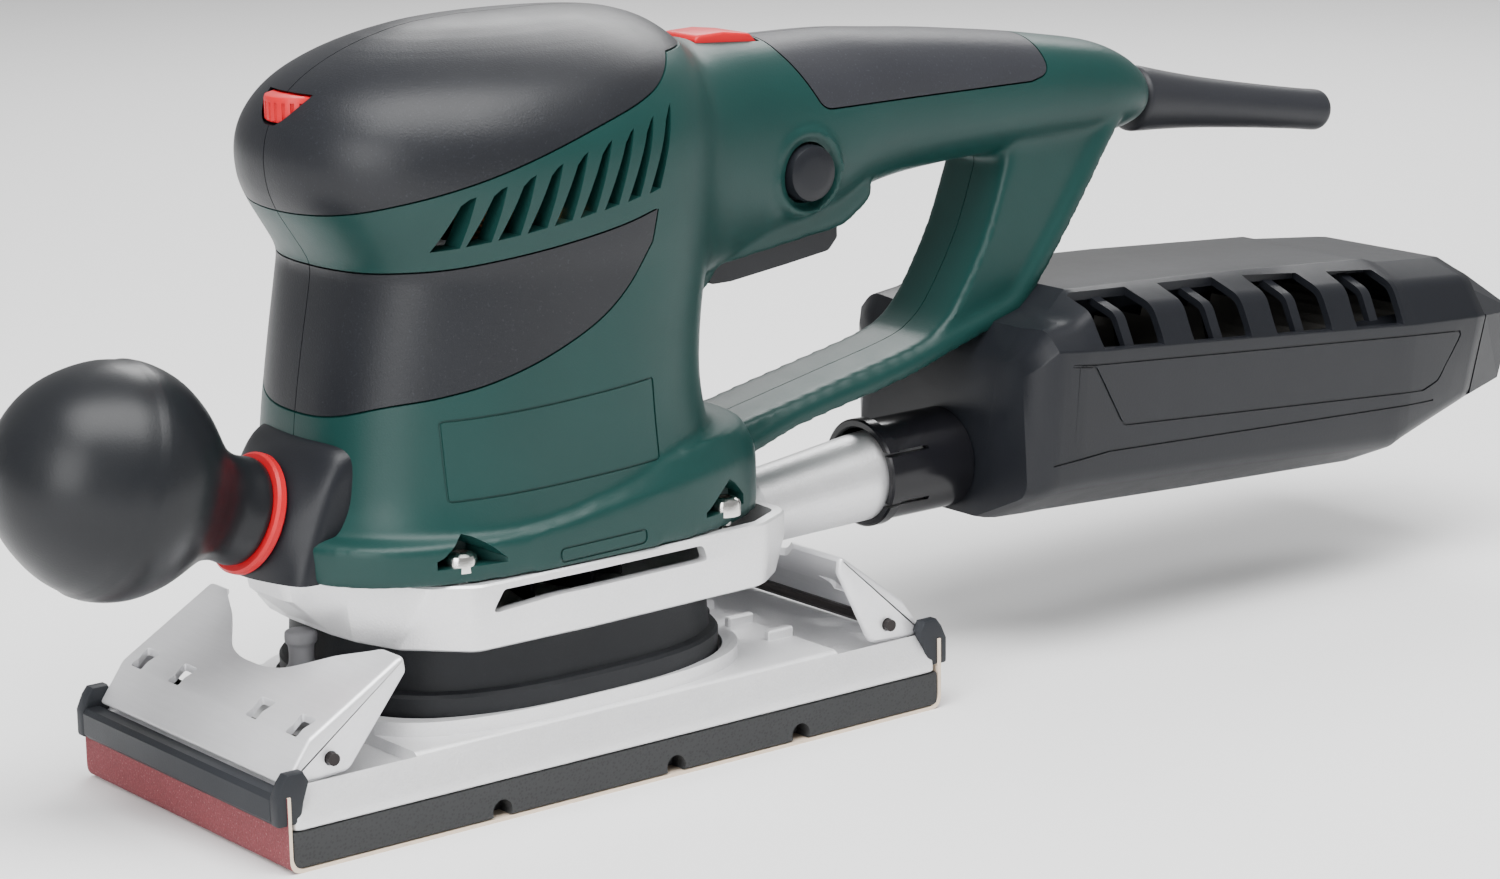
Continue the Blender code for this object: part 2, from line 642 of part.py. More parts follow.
def shells():
    """Make the two green housing halves and the soft grips that lie in their recesses."""
    master = former("shell_master", head(0))
    mould(master, "UNION", former("handle_form", handle(0)), former("strut_form", strut()))
    hollows = motor_space()
    hollows.append(former("handle_space", handle(WALL + GRIP_DEPTH, 30 * MM)))
    mould(master, "DIFFERENCE", *hollows)
    mould(master, "UNION", *screw_bosses())
    openings = control_openings()
    vents = [former(f"vent_{index}_{side}", vent_cutter(index, side))
             for index in range(VENT_COUNT) for side in (-1, 1)]
    recesses = [head_skin("cap_recess", cap_region, GAP, GRIP_DEPTH + GAP, 2 * MM),
                head_skin("band_recess", band_region, GAP, GRIP_DEPTH + GAP, 2 * MM),
                handle_skin("handle_grip_recess", GAP, GRIP_DEPTH + GAP, 2 * MM)]
    mould(master, "DIFFERENCE", *recesses, *openings, *vents)
    halves("shell", "green_plastic", master)
    cap = head_skin("cap_master", cap_region, 0.0, GRIP_DEPTH, 0.0)
    combine(cap, "DIFFERENCE", bpy.data.objects["dial_opening"])
    halves("cap_grip", "soft_grip", cap)
    halves("band_grip", "soft_grip", head_skin("band_master", band_region, 0.0,
                                               GRIP_DEPTH, 0.0))
    halves("handle_grip", "soft_grip", handle_skin("handle_grip_master", 0.0,
                                                   GRIP_DEPTH, 0.0))


# ---- screws ------------------------------------------------------------------------------
def screw_profile(length, clearance=0.0, head_room=None):
    """Return a pan-head screw's profile from its tip to its head."""
    head_top = SCREW_HEAD_HEIGHT if head_room is None else head_room
    head = SCREW_HEAD_RADIUS + clearance
    return ((-length - clearance, SCREW_RADIUS + clearance),
            (-clearance, SCREW_RADIUS + clearance), (-clearance, head),
            (head_top * 0.6, head), (head_top, head if head_room else head * 0.6))


def shell_screw_form(x, z, clearance=0.0, head_room=None):
    """Return a screw that joins the two housing halves, or the bore that it runs in."""
    length = SHELL_SCREW_HEAD_Y + 7 * MM
    return turned(screw_profile(length, clearance, head_room),
                  (x * MM, SHELL_SCREW_HEAD_Y, z * MM), (0, 1, 0), 8)


def screws():
    """Make the flange screws and the screws that join the housing halves."""
    places = [(x, side * FLANGE_SCREW_Y) for x in FLANGE_SCREW_X for side in (-1, 1)]
    for index, (x, y) in enumerate(places, start=1):
        bm = turned(screw_profile(SCREW_LENGTH), (x, y, FLANGE_SCREW_SEAT), (0, 0, 1), 10)
        piece(f"flange_screw_{index}", bm, "bright_steel")
    for index, (x, z) in enumerate(SHELL_SCREWS, start=1):
        piece(f"shell_screw_{index}", shell_screw_form(x, z), "dark_steel")


# ---- knob group --------------------------------------------------------------------------
def knob_frame(along, up, y):
    """Return a point given along the knob's axis, square to it in the middle plane, and in Y."""
    square = Vector((math.sin(KNOB_TILT), 0, math.cos(KNOB_TILT)))
    return KNOB_ORIGIN + KNOB_AXIS * along + square * up + Vector((0, y, 0))


def knob_group():
    """Make the saddle, spacer ring, threaded stud and ball knob."""
    rings = []
    for along, half_up, half_wide, squareness in ((-1.7, 14.4, 14.4, 2.0),
                                                  (-6, 15.2, 15.6, 2.1),
                                                  (-14, 18.5, 20, 3.0),
                                                  (-34, 24, 20.5, 3.6)):
        power = 2 / squareness
        ring = []
        for i in range(24):
            angle = math.tau * i / 24
            c, s = math.cos(angle), math.sin(angle)
            ring.append(knob_frame(along * MM,
                                   math.copysign(abs(s) ** power, s) * half_up * MM,
                                   math.copysign(abs(c) ** power, c) * half_wide * MM))
        rings.append(ring)
    bracket = piece("knob_bracket", loft(rings), "black_plastic")
    combine(bracket, "DIFFERENCE", former("bracket_seat", head(-GAP)),
            former("bracket_foot", block((-110 * MM, -60 * MM, 0),
                                         (0, 60 * MM, BRACKET_BOTTOM))),
            former("stud_bore", turned(((STUD_REACH[0] - MM, STUD_RADIUS + GAP),
                                        (5 * MM, STUD_RADIUS + GAP)),
                                       KNOB_ORIGIN, KNOB_AXIS, 16)))
    half = RING_THICKNESS / 2
    inner = STUD_RADIUS + GAP
    ring = ((-half, inner), (-half, RING_RADIUS - MM), (-half + 0.6 * MM, RING_RADIUS),
            (half - 0.6 * MM, RING_RADIUS), (half, RING_RADIUS - MM), (half, inner))
    piece("knob_ring", turned_ring(ring, KNOB_ORIGIN, KNOB_AXIS, 20), "red_plastic")
    piece("knob_stud", turned(((STUD_REACH[0], STUD_RADIUS), (STUD_REACH[1], STUD_RADIUS)),
                              KNOB_ORIGIN, KNOB_AXIS, 16), "bright_steel")
    socket_end = STUD_REACH[1] + GAP
    profile = [(socket_end, 0.0), (socket_end, inner), (KNOB_PROFILE[0][0] * MM, inner)]
    profile += millimetres(KNOB_PROFILE)
    piece("front_knob", turned(profile, KNOB_ORIGIN, KNOB_AXIS, 20), "satin_knob",
          KNOB_ORIGIN)


# ---- controls ----------------------------------------------------------------------------
def controls():
    """Make the trigger, the two buttons, the speed dial and the cord sleeve."""
    outline = millimetres(TRIGGER_OUTLINE)
    piece("trigger", prism(outline, -TRIGGER_HALF_WIDTH, TRIGGER_HALF_WIDTH),
          "black_plastic", (outline[0][0], 0, outline[-1][1]))
    lock = Vector((LOCK_X, 0, LOCK_Z))
    profile = ((LOCK_FACE_Y, LOCK_RADIUS - 1.2 * MM), (LOCK_FACE_Y + MM, LOCK_RADIUS),
               (LOCK_FLANGE_Y, LOCK_RADIUS), (LOCK_FLANGE_Y, LOCK_FLANGE_RADIUS),
               (LOCK_FLANGE_Y + LOCK_FLANGE_DEPTH, LOCK_FLANGE_RADIUS))
    piece("lock_button", turned(profile, lock, (0, 1, 0), 16), "black_plastic", lock)
    front, rear = BOOST_X
    boost = prism([(front, BOOST_TOP - BOOST_HEIGHT), (rear, BOOST_TOP - BOOST_HEIGHT),
                   (rear, BOOST_TOP - 0.8 * MM), (rear - 4 * MM, BOOST_TOP),
                   (front, BOOST_TOP - 0.6 * MM)], -BOOST_HALF_WIDTH, BOOST_HALF_WIDTH)
    piece("boost_button", boost, "red_plastic", (front, 0, BOOST_TOP))
    low, high = DIAL_CENTRE[2] - DIAL_HEIGHT / 2, DIAL_CENTRE[2] + DIAL_HEIGHT / 2
    rings = []
    for z in (low, high):
        rings.append([(DIAL_CENTRE[0] + math.cos(a) * r, DIAL_CENTRE[1] + math.sin(a) * r, z)
                      for a, r in ((math.tau * i / 40, DIAL_RADIUS - (i % 2) * 0.5 * MM)
                                   for i in range(40))])
    piece("speed_dial", loft(rings), "red_plastic", DIAL_CENTRE)
    sleeve = piece("cord_sleeve", cord_sleeve_form(), "black_rubber")
    away = (SLEEVE_START - SLEEVE_END).normalized()
    combine(sleeve, "DIFFERENCE", former("cord_bore", turned(
        ((-MM - 2 * MM, CORD_BORE_RADIUS), (CORD_BORE_DEPTH, CORD_BORE_RADIUS)),
        SLEEVE_END, away, 16)))


def cord_sleeve_form(clearance=0.0):
    """Return the tapered strain relief, or the bore that holds its collar."""
    axis = SLEEVE_END - SLEEVE_START
    profile = [(along * MM, radius * MM + clearance) for along, radius in SLEEVE_PROFILE]
    if clearance:
        collar, neck, cone = profile[1][1], profile[3][1], profile[5][1] + MM
        neck_start, neck_end = profile[3][0] + clearance, profile[4][0] - clearance
        profile = [(-clearance, collar), (neck_start, collar), (neck_start, neck),
                   (neck_end, neck), (neck_end, cone), (neck_end + 30 * MM, cone)]
    return turned(profile, SLEEVE_START, axis, 16)


# ---- electrical pieces -------------------------------------------------------------------
def electrics():
    """Make the switch in the grip bar and the speed control under the cap."""
    low_x, high_x = 57 * MM, 91 * MM
    outline = millimetres(TRIGGER_OUTLINE)
    low_z = outline[-1][1] + TRIGGER_TRAVEL + RUNNING_GAP
    high_z = 149 * MM
    tool = piece("switch_unit", block((low_x, -9 * MM, low_z), (high_x, 60 * MM, high_z)),
                 "black_plastic")
    fit = former("switch_space", handle(WALL + GRIP_DEPTH + GAP, 30 * MM))
    combine(tool, "INTERSECT", fit)
    web_top = WEB_BOTTOM + WEB_HEIGHT
    dial_low = DIAL_CENTRE[2] - DIAL_HEIGHT / 2
    piece("speed_control", block((-51 * MM, -13 * MM, web_top + GAP),
                                 (-24 * MM, 13 * MM, dial_low - GAP)), "black_plastic")


# ---- motor -------------------------------------------------------------------------------
def ring_solid(name, inner, outer, low, high, finish_name, centre, steps=32):
    """Make an upright ring."""
    profile = ((low, inner), (low, outer), (high, outer), (high, inner))
    return piece(name, turned_ring(profile, (*centre, 0), (0, 0, 1), steps), finish_name,
                 (*centre, low))


def fan_form():
    """Return the fan: a hub disc with upright blades joined to it."""
    centre = (MOTOR_X, 0.0)
    disc = 1.6 * MM
    fan = piece("fan", turned_ring(((FAN_BOTTOM + FAN_HEIGHT - disc, SHAFT_RADIUS + GAP / 2),
                                    (FAN_BOTTOM + FAN_HEIGHT - disc, FAN_RADIUS),
                                    (FAN_BOTTOM + FAN_HEIGHT, FAN_RADIUS),
                                    (FAN_BOTTOM + FAN_HEIGHT, SHAFT_RADIUS + GAP / 2)),
                                   (*centre, 0), (0, 0, 1), 24), "black_plastic",
                (*centre, FAN_BOTTOM))
    blades = bmesh.new()
    for index in range(FAN_BLADES):
        blade = block((12 * MM, -0.6 * MM, FAN_BOTTOM),
                      (FAN_RADIUS - MM, 0.6 * MM, FAN_BOTTOM + FAN_HEIGHT - disc / 2))
        turn = Matrix.Rotation(math.tau * (index + 0.5) / FAN_BLADES, 4, "Z")
        bmesh.ops.transform(blade, matrix=Matrix.Translation((MOTOR_X, 0, 0)) @ turn,
                            verts=blade.verts)
        part = bpy.data.meshes.new("fan_blade")
        settle(blade).to_mesh(part)
        blade.free()
        blades.from_mesh(part)
        bpy.data.meshes.remove(part)
    return combine(fan, "UNION", former("fan_blades", blades))


def motor():
    """Make the stator, rotor, bearings, brushes, fan and eccentric."""
    centre = (MOTOR_X, 0.0)
    stator_low = STATOR_SEAT + GAP
    ring_solid("stator", STATOR_BORE, STATOR_RADIUS, stator_low, stator_low + STATOR_HEIGHT,
               "laminated_steel", centre, 20)
    armature_low = stator_low + MM
    bore = SHAFT_RADIUS + GAP / 2
    ring_solid("armature", bore, ARMATURE_RADIUS, armature_low,
               armature_low + STATOR_HEIGHT - 2 * MM, "copper", centre, 20)
    commutator_low = armature_low + STATOR_HEIGHT + 3 * MM
    ring_solid("commutator", bore, COMMUTATOR_RADIUS, commutator_low,
               commutator_low + COMMUTATOR_HEIGHT, "copper", centre, 20)
    web_middle = WEB_BOTTOM + WEB_HEIGHT / 2
    top_low = web_middle - TOP_BEARING_HEIGHT / 2
    ring_solid("upper_bearing", bore, TOP_BEARING_RADIUS, top_low,
               top_low + TOP_BEARING_HEIGHT, "bright_steel", centre, 20)
    low_seat = BOSS_BOTTOM + 2 * MM + GAP
    ring_solid("lower_bearing", bore, BEARING_RADIUS, low_seat, low_seat + BEARING_HEIGHT,
               "bright_steel", centre, 20)
    piece("rotor_shaft", drum(SHAFT_RADIUS, SHAFT_BOTTOM, top_low + TOP_BEARING_HEIGHT + MM,
                              centre, 20), "bright_steel", (*centre, SHAFT_BOTTOM))
    fan_form()
    brush_z = commutator_low + COMMUTATOR_HEIGHT / 2
    for name, side in (("brush_left", -1), ("brush_right", 1)):
        near = side * (COMMUTATOR_RADIUS + RUNNING_GAP)
        brush = piece(name, block(
            (MOTOR_X - BRUSH_WIDTH / 2, min(near, side * 60 * MM), brush_z - BRUSH_HEIGHT / 2),
            (MOTOR_X + BRUSH_WIDTH / 2, max(near, side * 60 * MM), brush_z + BRUSH_HEIGHT / 2)),
            "brass")
        fit = former(f"{name}_space", head(GRIP_DEPTH + WALL + GAP))
        combine(brush, "INTERSECT", fit)
    eccentric()


def eccentric():
    """Make the balance weight with the off-centre journal that drives the pad."""
    top = WEIGHT_BOTTOM + WEIGHT_HEIGHT
    arc = [(MOTOR_X - 8 * MM, -WEIGHT_RADIUS * 0.8), (MOTOR_X - 8 * MM, WEIGHT_RADIUS * 0.8)]
    for i in range(9):
        angle = math.radians(130 + 100 * i / 8)
        arc.append((MOTOR_X + WEIGHT_RADIUS * math.cos(angle) - 2 * MM,
                    WEIGHT_RADIUS * math.sin(angle)))
    hub = piece("eccentric", drum(11 * MM, WEIGHT_BOTTOM, top, (MOTOR_X, 0), 24),
                "cast_alloy", (MOTOR_X, 0, WEIGHT_BOTTOM))
    combine(hub, "UNION", former("balance_weight", prism(arc, WEIGHT_BOTTOM, top, "Z")),
            former("journal", drum(JOURNAL_RADIUS, JOURNAL_BOTTOM, WEIGHT_BOTTOM + MM,
                                   (HUB_X, 0), 20)))
    combine(hub, "DIFFERENCE", former("shaft_socket", drum(
        SHAFT_RADIUS + GAP / 2, SHAFT_BOTTOM - GAP, top + MM, (MOTOR_X, 0), 20)))
    bearing_low = PLATE_TOP - BEARING_HEIGHT - GAP
    ring_solid("eccentric_bearing", JOURNAL_RADIUS + GAP / 2, BEARING_RADIUS, bearing_low,
               bearing_low + BEARING_HEIGHT, "bright_steel", (HUB_X, 0.0), 20)


# ---- alloy lower housing and extraction tube ---------------------------------------------
def tube_boss_radius():
    """Return the outer radius of the spigot that holds the tube."""
    return TUBE_PROFILE[0][1] * MM + GAP + TUBE_SPIGOT_WALL


def tube_spigot(radius, start, end):
    """Return a cylinder about the tube's axis, from start to end along it."""
    return turned(((start, radius), (end, radius)), TUBE_START, TUBE_END - TUBE_START, 16)


def lower_housing():
    """Make the alloy housing: fan chamber, bearing boss, exhaust slots and screw bosses."""
    outer = [oval(front * MM, rear * MM, half * MM, power, z * MM)
             for z, front, rear, half, power in HOUSING_LEVELS]
    housing = piece("lower_housing", loft(outer), "cast_alloy")
    floor_top = HOUSING_FLOOR + HOUSING_FLOOR_THICKNESS
    inner = []
    for z, front, rear, half, power in HOUSING_LEVELS:
        height = max(z * MM, floor_top)
        inner.append(oval(front * MM + HOUSING_WALL, rear * MM - HOUSING_WALL,
                          half * MM - HOUSING_WALL, power, height))
    inner = [ring for ring in inner if ring[0][2] > floor_top + GAP]
    low = [(x, y, floor_top) for x, y, z in inner[0]]
    high = [(x, y, HOUSING_TOP + MM) for x, y, z in inner[-1]]
    chamber = former("fan_room", loft([low, *inner[:-1], high]))
    centre = (MOTOR_X, 0.0)
    mould(housing, "DIFFERENCE", chamber)
    mould(housing, "UNION", former("bearing_boss", drum(BOSS_RADIUS, BOSS_BOTTOM,
                                                          floor_top + MM, centre, 20)))
    room = turned(((BOSS_BOTTOM - MM, SHAFT_RADIUS + 3 * MM),
                   (BOSS_BOTTOM + 2 * MM, SHAFT_RADIUS + 3 * MM),
                   (BOSS_BOTTOM + 2 * MM, BEARING_RADIUS + GAP),
                   (floor_top + 3 * MM, BEARING_RADIUS + GAP)), (*centre, 0), (0, 0, 1), 20)
    cuts = [former("bearing_room", room)]
    for side in (-1, 1):
        ys = sorted((side * 36 * MM, side * 50 * MM))
        cuts.append(former(f"side_slot_{side}", block(
            (SIDE_SLOT_X[0], ys[0], SIDE_SLOT_Z[0]), (SIDE_SLOT_X[1], ys[1], SIDE_SLOT_Z[1]))))
    posts = []
    for index, (x, side) in enumerate((x, side) for x in FLANGE_SCREW_X for side in (-1, 1)):
        place_at = (x, side * FLANGE_SCREW_Y)
        posts.append(former(f"screw_post_{index}", drum(
            SCREW_RADIUS + 2 * MM, HOUSING_FLOOR + MM, HOUSING_TOP, place_at, 8)))
        cuts.append(former(f"screw_hole_{index}", drum(
            SCREW_RADIUS + GAP, FLANGE_SCREW_SEAT - SCREW_LENGTH - GAP, HOUSING_TOP + MM,
            place_at, 8)))
    tube_start = TUBE_PROFILE[0][0] * MM
    spigot_end = tube_start + TUBE_SEAT_DEPTH
    posts.append(former("spigot", tube_spigot(tube_boss_radius(), -8 * MM, spigot_end)))
    radius = TUBE_PROFILE[0][1] * MM
    cuts.append(former("tube_socket", tube_spigot(radius + GAP, tube_start - GAP,
                                                  spigot_end + MM)))
    cuts.append(former("dust_duct", tube_spigot(radius - TUBE_WALL, -20 * MM, tube_start)))
    mould(housing, "UNION", *posts)
    mould(housing, "DIFFERENCE", *cuts)


def extraction_tube():
    """Make the tube that leads the dust from the fan chamber to the box."""
    axis = TUBE_END - TUBE_START
    outer = [(along * MM, radius * MM) for along, radius in TUBE_PROFILE]
    inner = [(along, radius - TUBE_WALL) for along, radius in reversed(outer)]
    bm = turned_ring(outer + inner, TUBE_START, axis, 20)
    piece("extraction_tube", bm, "cast_alloy")


# ---- boot and legs -----------------------------------------------------------------------
def boot_ring(offset, z):
    """Return the boot's outline at a height, grown by an offset."""
    reach = BOOT_HALF_LENGTH + offset
    return oval(BOOT_X - reach, BOOT_X + reach, BOOT_HALF_WIDTH + offset, 2.8, z)


def boot_and_legs():
    """Make the rubber boot and the four posts that carry the pad."""
    low, high = PLATE_TOP + GAP, HOUSING_FLOOR - GAP
    lip_top = BOOT_LIP_TOP
    outer = [boot_ring(BOOT_LIP, low), boot_ring(BOOT_LIP, lip_top), boot_ring(0, lip_top
             + 0.8 * MM), boot_ring(-0.8 * MM, high)]
    boot = piece("boot", loft(outer), "black_rubber")
    inside = former("boot_space", loft([boot_ring(-BOOT_WALL, low - MM),
                                        boot_ring(-BOOT_WALL - 0.8 * MM, high + MM)]))
    feet = [former(f"leg_foot_{side}", drum(LEG_FOOT_RADIUS, low, lip_top, (
        BOOT_X + side * END_LEG_X, 0), 16)) for side in (-1, 1)]
    combine(boot, "UNION", *feet)
    combine(boot, "DIFFERENCE", inside)
    nose_top = HOUSING_FLOOR - GAP
    boss_bottom = tube_axis_z(BOOT_X + END_LEG_X) - tube_boss_radius() - GAP
    legs = ((BOOT_X - END_LEG_X, 0, lip_top + GAP, nose_top),
            (BOOT_X + END_LEG_X, 0, lip_top + GAP, boss_bottom),
            (HUB_X, -SIDE_LEG_Y, low, high), (HUB_X, SIDE_LEG_Y, low, high))
    for index, (x, y, foot, top) in enumerate(legs, start=1):
        profile = ((foot, LEG_RADIUS), (top - MM, LEG_RADIUS), (top, LEG_RADIUS - 0.6 * MM))
        piece(f"leg_{index}", turned(profile, (x, y, 0), (0, 0, 1), 14), "grey_rubber")


# ---- sanding pad -------------------------------------------------------------------------
def end_profile(inset):
    """Return the (x, z) profile of one rounded pad end, from the face up to the jaw."""
    half = PAD_LENGTH / 2 - inset
    radius = FOAM_EDGE_RADIUS
    points = []
    for i in range(5):
        angle = math.radians(90 * i / 4)
        points.append((half - radius + radius * math.sin(angle),
                       inset + radius - radius * math.cos(angle)))
    points.append((half, FOAM_TOP + 0.2 * MM))
    points.append((half - 2.2 * MM, FOAM_TOP + 2.6 * MM))
    points.append((half - PLATE_END_SET_BACK - 0.8 * MM, PLATE_TOP - 2 * MM))
    return points


def sandpaper():
    """Make the paper strip that wraps under the pad and up both ends."""
    def path(inset):
        right = end_profile(inset)
        return [(-x, z) for x, z in reversed(right)] + right
    outline = path(0.0) + list(reversed(path(PAPER_THICKNESS)))
    piece("sandpaper", prism(outline, -PAD_WIDTH / 2, PAD_WIDTH / 2), "abrasive")


def pad():
    """Make the foam, the plate with its hub, the paper and the parts of the clamps."""
    inset = PAPER_THICKNESS + GAP
    right = [p for p in end_profile(inset) if p[1] < FOAM_TOP - GAP]
    foam_outline = [(-x, z) for x, z in reversed(right)] + right
    half = right[-1][0]
    foam_outline += [(half, FOAM_TOP), (-half, FOAM_TOP)]
    foam = piece("pad_foam", prism(foam_outline, -PAD_WIDTH / 2, PAD_WIDTH / 2), "foam")
    notches = []
    for x in FOAM_NOTCHES:
        for side in (-1, 1):
            notches.append(former(f"notch_{len(notches)}", turned(
                ((-3 * MM, FOAM_NOTCH_RADIUS), (3 * MM, FOAM_NOTCH_RADIUS)),
                (x, side * PAD_WIDTH / 2, inset), (0, side, 0), 12)))
    combine(foam, "DIFFERENCE", *notches)
    plate(inset)
    sandpaper()


def plate(inset):
    """Make the alloy sanding plate."""
    low = FOAM_TOP + GAP
    half = PAD_LENGTH / 2 - inset
    slope_start = low + PLATE_SLOPE_HEIGHT * 0.4
    rings = [rounded_rectangle(half - 0.6 * MM, PAD_WIDTH / 2, 3 * MM, low),
             rounded_rectangle(half - 2.6 * MM, PAD_WIDTH / 2, 3 * MM, slope_start),
             rounded_rectangle(half - PLATE_END_SET_BACK - 1.2 * MM, PAD_WIDTH / 2 - PLATE_SIDE_SET_BACK,
                               3 * MM, PLATE_TOP)]
    body = piece("pad_plate", loft(rings), "cast_alloy")
    rim_gap = BOOT_LIP + GAP
    rim = former("plate_rim", loft([boot_ring(rim_gap + PLATE_RIM_WALL, PLATE_TOP - MM),
                                    boot_ring(rim_gap + PLATE_RIM_WALL - 0.8 * MM,
                                              PLATE_RIM_TOP)]))
    rim_space = former("plate_rim_space", loft([boot_ring(rim_gap, PLATE_TOP),
                                                boot_ring(rim_gap, PLATE_RIM_TOP + MM)]))
    rim_ends = []
    for side in (-1, 1):
        centre = BOOT_X + side * (BOOT_HALF_LENGTH + 4 * MM)
        xs = sorted((centre - side * 12 * MM, centre + side * 14 * MM))
        rim_ends.append(former(f"rim_end_{side}", block(
            (xs[0], -26 * MM, PLATE_TOP), (xs[1], 26 * MM, PLATE_RIM_TOP + MM))))
    combine(rim, "DIFFERENCE", rim_space, *rim_ends)
    ears = []
    for side_x in (-1, 1):
        x, _, z = pin_place(side_x)
        for side_y in (-1, 1):
            ys = sorted(side_y * y for y in EAR_Y)
            outline = [(x - 4.5 * MM, PLATE_TOP - MM), (x + 4.5 * MM, PLATE_TOP - MM),
                       (x + 3.4 * MM, z + 1.6 * MM), (x + 1.4 * MM, z + 3.6 * MM),
                       (x - 1.4 * MM, z + 3.6 * MM), (x - 3.4 * MM, z + 1.6 * MM)]
            ears.append(former(f"ear_{len(ears)}", prism(outline, *ys)))
    combine(body, "UNION", rim, *ears)
    hub_bore = drum(BEARING_RADIUS + GAP, PLATE_TOP - BEARING_HEIGHT - 2 * GAP,
                    PLATE_TOP + MM, (HUB_X, 0), 20)
    cuts = [former("hub_bore", hub_bore)]
    for side_x in (-1, 1):
        cuts.append(former(f"pin_hole_{side_x}", turned(
            ((-PAD_WIDTH, PIN_RADIUS + GAP), (PAD_WIDTH, PIN_RADIUS + GAP)),
            pin_place(side_x), (0, 1, 0), 12)))
    combine(body, "DIFFERENCE", *cuts)


# ---- paper clamps ------------------------------------------------------------------------
def thick_path(points, thickness):
    """Return the outline of a bent sheet whose upper face follows the points."""
    lower = []
    for index, point in enumerate(points):
        before = Vector(points[max(index - 1, 0)])
        after = Vector(points[min(index + 1, len(points) - 1)])
        along = (after - before).normalized()
        lower.append(tuple(Vector(point) + Vector((along.y, -along.x)) * thickness))
    return [*points, *reversed(lower)]


def pin_place(side):
    """Return the middle of a clamp's pivot pin: side is -1 in front and 1 at the rear."""
    return Vector((side * (PAD_LENGTH / 2 + PIN_AT[0] * MM), 0, PIN_AT[1] * MM))


def clamp(stem, side, horn):
    """Make one paper clamp: pressed lever, jaw strip, pivot pin and spring."""
    pivot = pin_place(side)

    def mirrored(points):
        return [(side * (PAD_LENGTH / 2 + x), z) for x, z in points]

    path = millimetres((LEVER_FOOT, LEVER_BEND, horn))
    sheet = [(-x, z) for x, z in thick_path([(-x, z) for x, z in path], SHEET)]
    width = LEVER_HALF_WIDTH
    lever = piece(f"{stem}_clamp_lever", prism(mirrored(sheet), -width, width),
                  "pressed_steel", pivot)
    flange = millimetres((LEVER_FOOT, LEVER_BEND, horn, (horn[0] + 3, horn[1] - 5.6),
                          (PIN_AT[0] - 3, PIN_AT[1] - 1.5), (PIN_AT[0], PIN_AT[1] - 3.2),
                          (PIN_AT[0] + 5, PIN_AT[1] - 2.2),
                          (LEVER_FOOT[0] - 2, LEVER_FOOT[1] + 2)))
    for side_y in (-1, 1):
        ys = sorted((side_y * (width - SHEET), side_y * width))
        combine(lever, "UNION", former(f"{stem}_flange_{side_y}", prism(mirrored(flange), *ys)))
    reach = horn[0]
    notch = millimetres([*LEVER_NOTCH, (reach - 1, 33.5), (reach - 9, 35)])
    notch += [(x, -y) for x, y in reversed(notch[1:])]
    cuts = [former(f"{stem}_notch", prism(mirrored(notch), 10 * MM, 60 * MM, "Z"))]
    middles = [side_y * (width - back) for side_y in (-1, 1) for back in WINDOW_SET_BACK]
    for index, y in enumerate(middles):
        window = [(-8.4, -2), (-10.8, -3.2), (-12.6, -2), (-12.6, 2), (-10.8, 3.2), (-8.4, 2)]
        window = [(x, y + across) for x, across in millimetres(window)]
        cuts.append(former(f"{stem}_window_{index}", prism(mirrored(window), 26 * MM,
                                                           60 * MM, "Z")))
    cuts.append(former(f"{stem}_lever_pin_hole", turned(
        ((-PAD_WIDTH, PIN_RADIUS + GAP), (PAD_WIDTH, PIN_RADIUS + GAP)), pivot, (0, 1, 0), 12)))
    combine(lever, "DIFFERENCE", *cuts)
    clamp_jaw(stem, mirrored, pivot)
    pin = ((-PIN_HALF_LENGTH, PIN_RADIUS), (PIN_HALF_LENGTH, PIN_RADIUS))
    piece(f"{stem}_clamp_pin", turned(pin, pivot, (0, 1, 0), 12), "dark_steel", pivot)
    clamp_spring(stem, pivot)


def clamp_jaw(stem, mirrored, pivot):
    """Make the black strip that presses the paper, with a raised hook at each end."""
    jaw = piece(f"{stem}_clamp_jaw",
                prism(mirrored(millimetres(JAW_OUTLINE)), -JAW_HALF_LENGTH, JAW_HALF_LENGTH),
                "black_plastic", pivot)
    hook = millimetres(JAW_HOOK)
    for side_y in (-1, 1):
        ys = sorted((side_y * (LEVER_HALF_WIDTH + GAP), side_y * (JAW_HALF_LENGTH + 0.6 * MM)))
        combine(jaw, "UNION", former(f"{stem}_hook_{side_y}", prism(mirrored(hook), *ys)))


def clamp_spring(stem, pivot):
    """Make the torsion spring, coiled round the pivot pin."""
    per_turn, sides = 10, 4
    start = pivot + Vector((0, SPRING_Y, 0))
    total = SPRING_TURNS * per_turn
    rings = []
    for i in range(total + 1):
        angle = math.tau * i / per_turn
        out = Vector((math.cos(angle), 0, math.sin(angle)))
        centre = start + out * SPRING_RADIUS + Vector((0, SPRING_PITCH * i / per_turn, 0))
        rings.append([centre + (out * math.cos(a) + Vector((0, 1, 0)) * math.sin(a))
                      * SPRING_WIRE for a in (math.tau * k / sides for k in range(sides))])
    piece(f"{stem}_clamp_spring", loft(rings), "dark_steel", pivot)


# ---- dust box ----------------------------------------------------------------------------
def box_ring(section, inset):
    """Return one cross-section of the dust box, drawn in by an inset."""
    x, bottom, chamfer, crease, eaves, roof, w_bottom, w_chamfer, w_crease, w_eaves = section
    d = inset / MM
    right = [(w_bottom - d * 0.6, bottom + d), (w_chamfer - d, chamfer + d * 0.3),
             (w_crease - d, crease), (w_eaves - d * 0.5, eaves - d), (8, roof - d)]
    points = right + [(-y, z) for y, z in reversed(right)]
    return [(x * MM, y * MM, z * MM) for y, z in points]


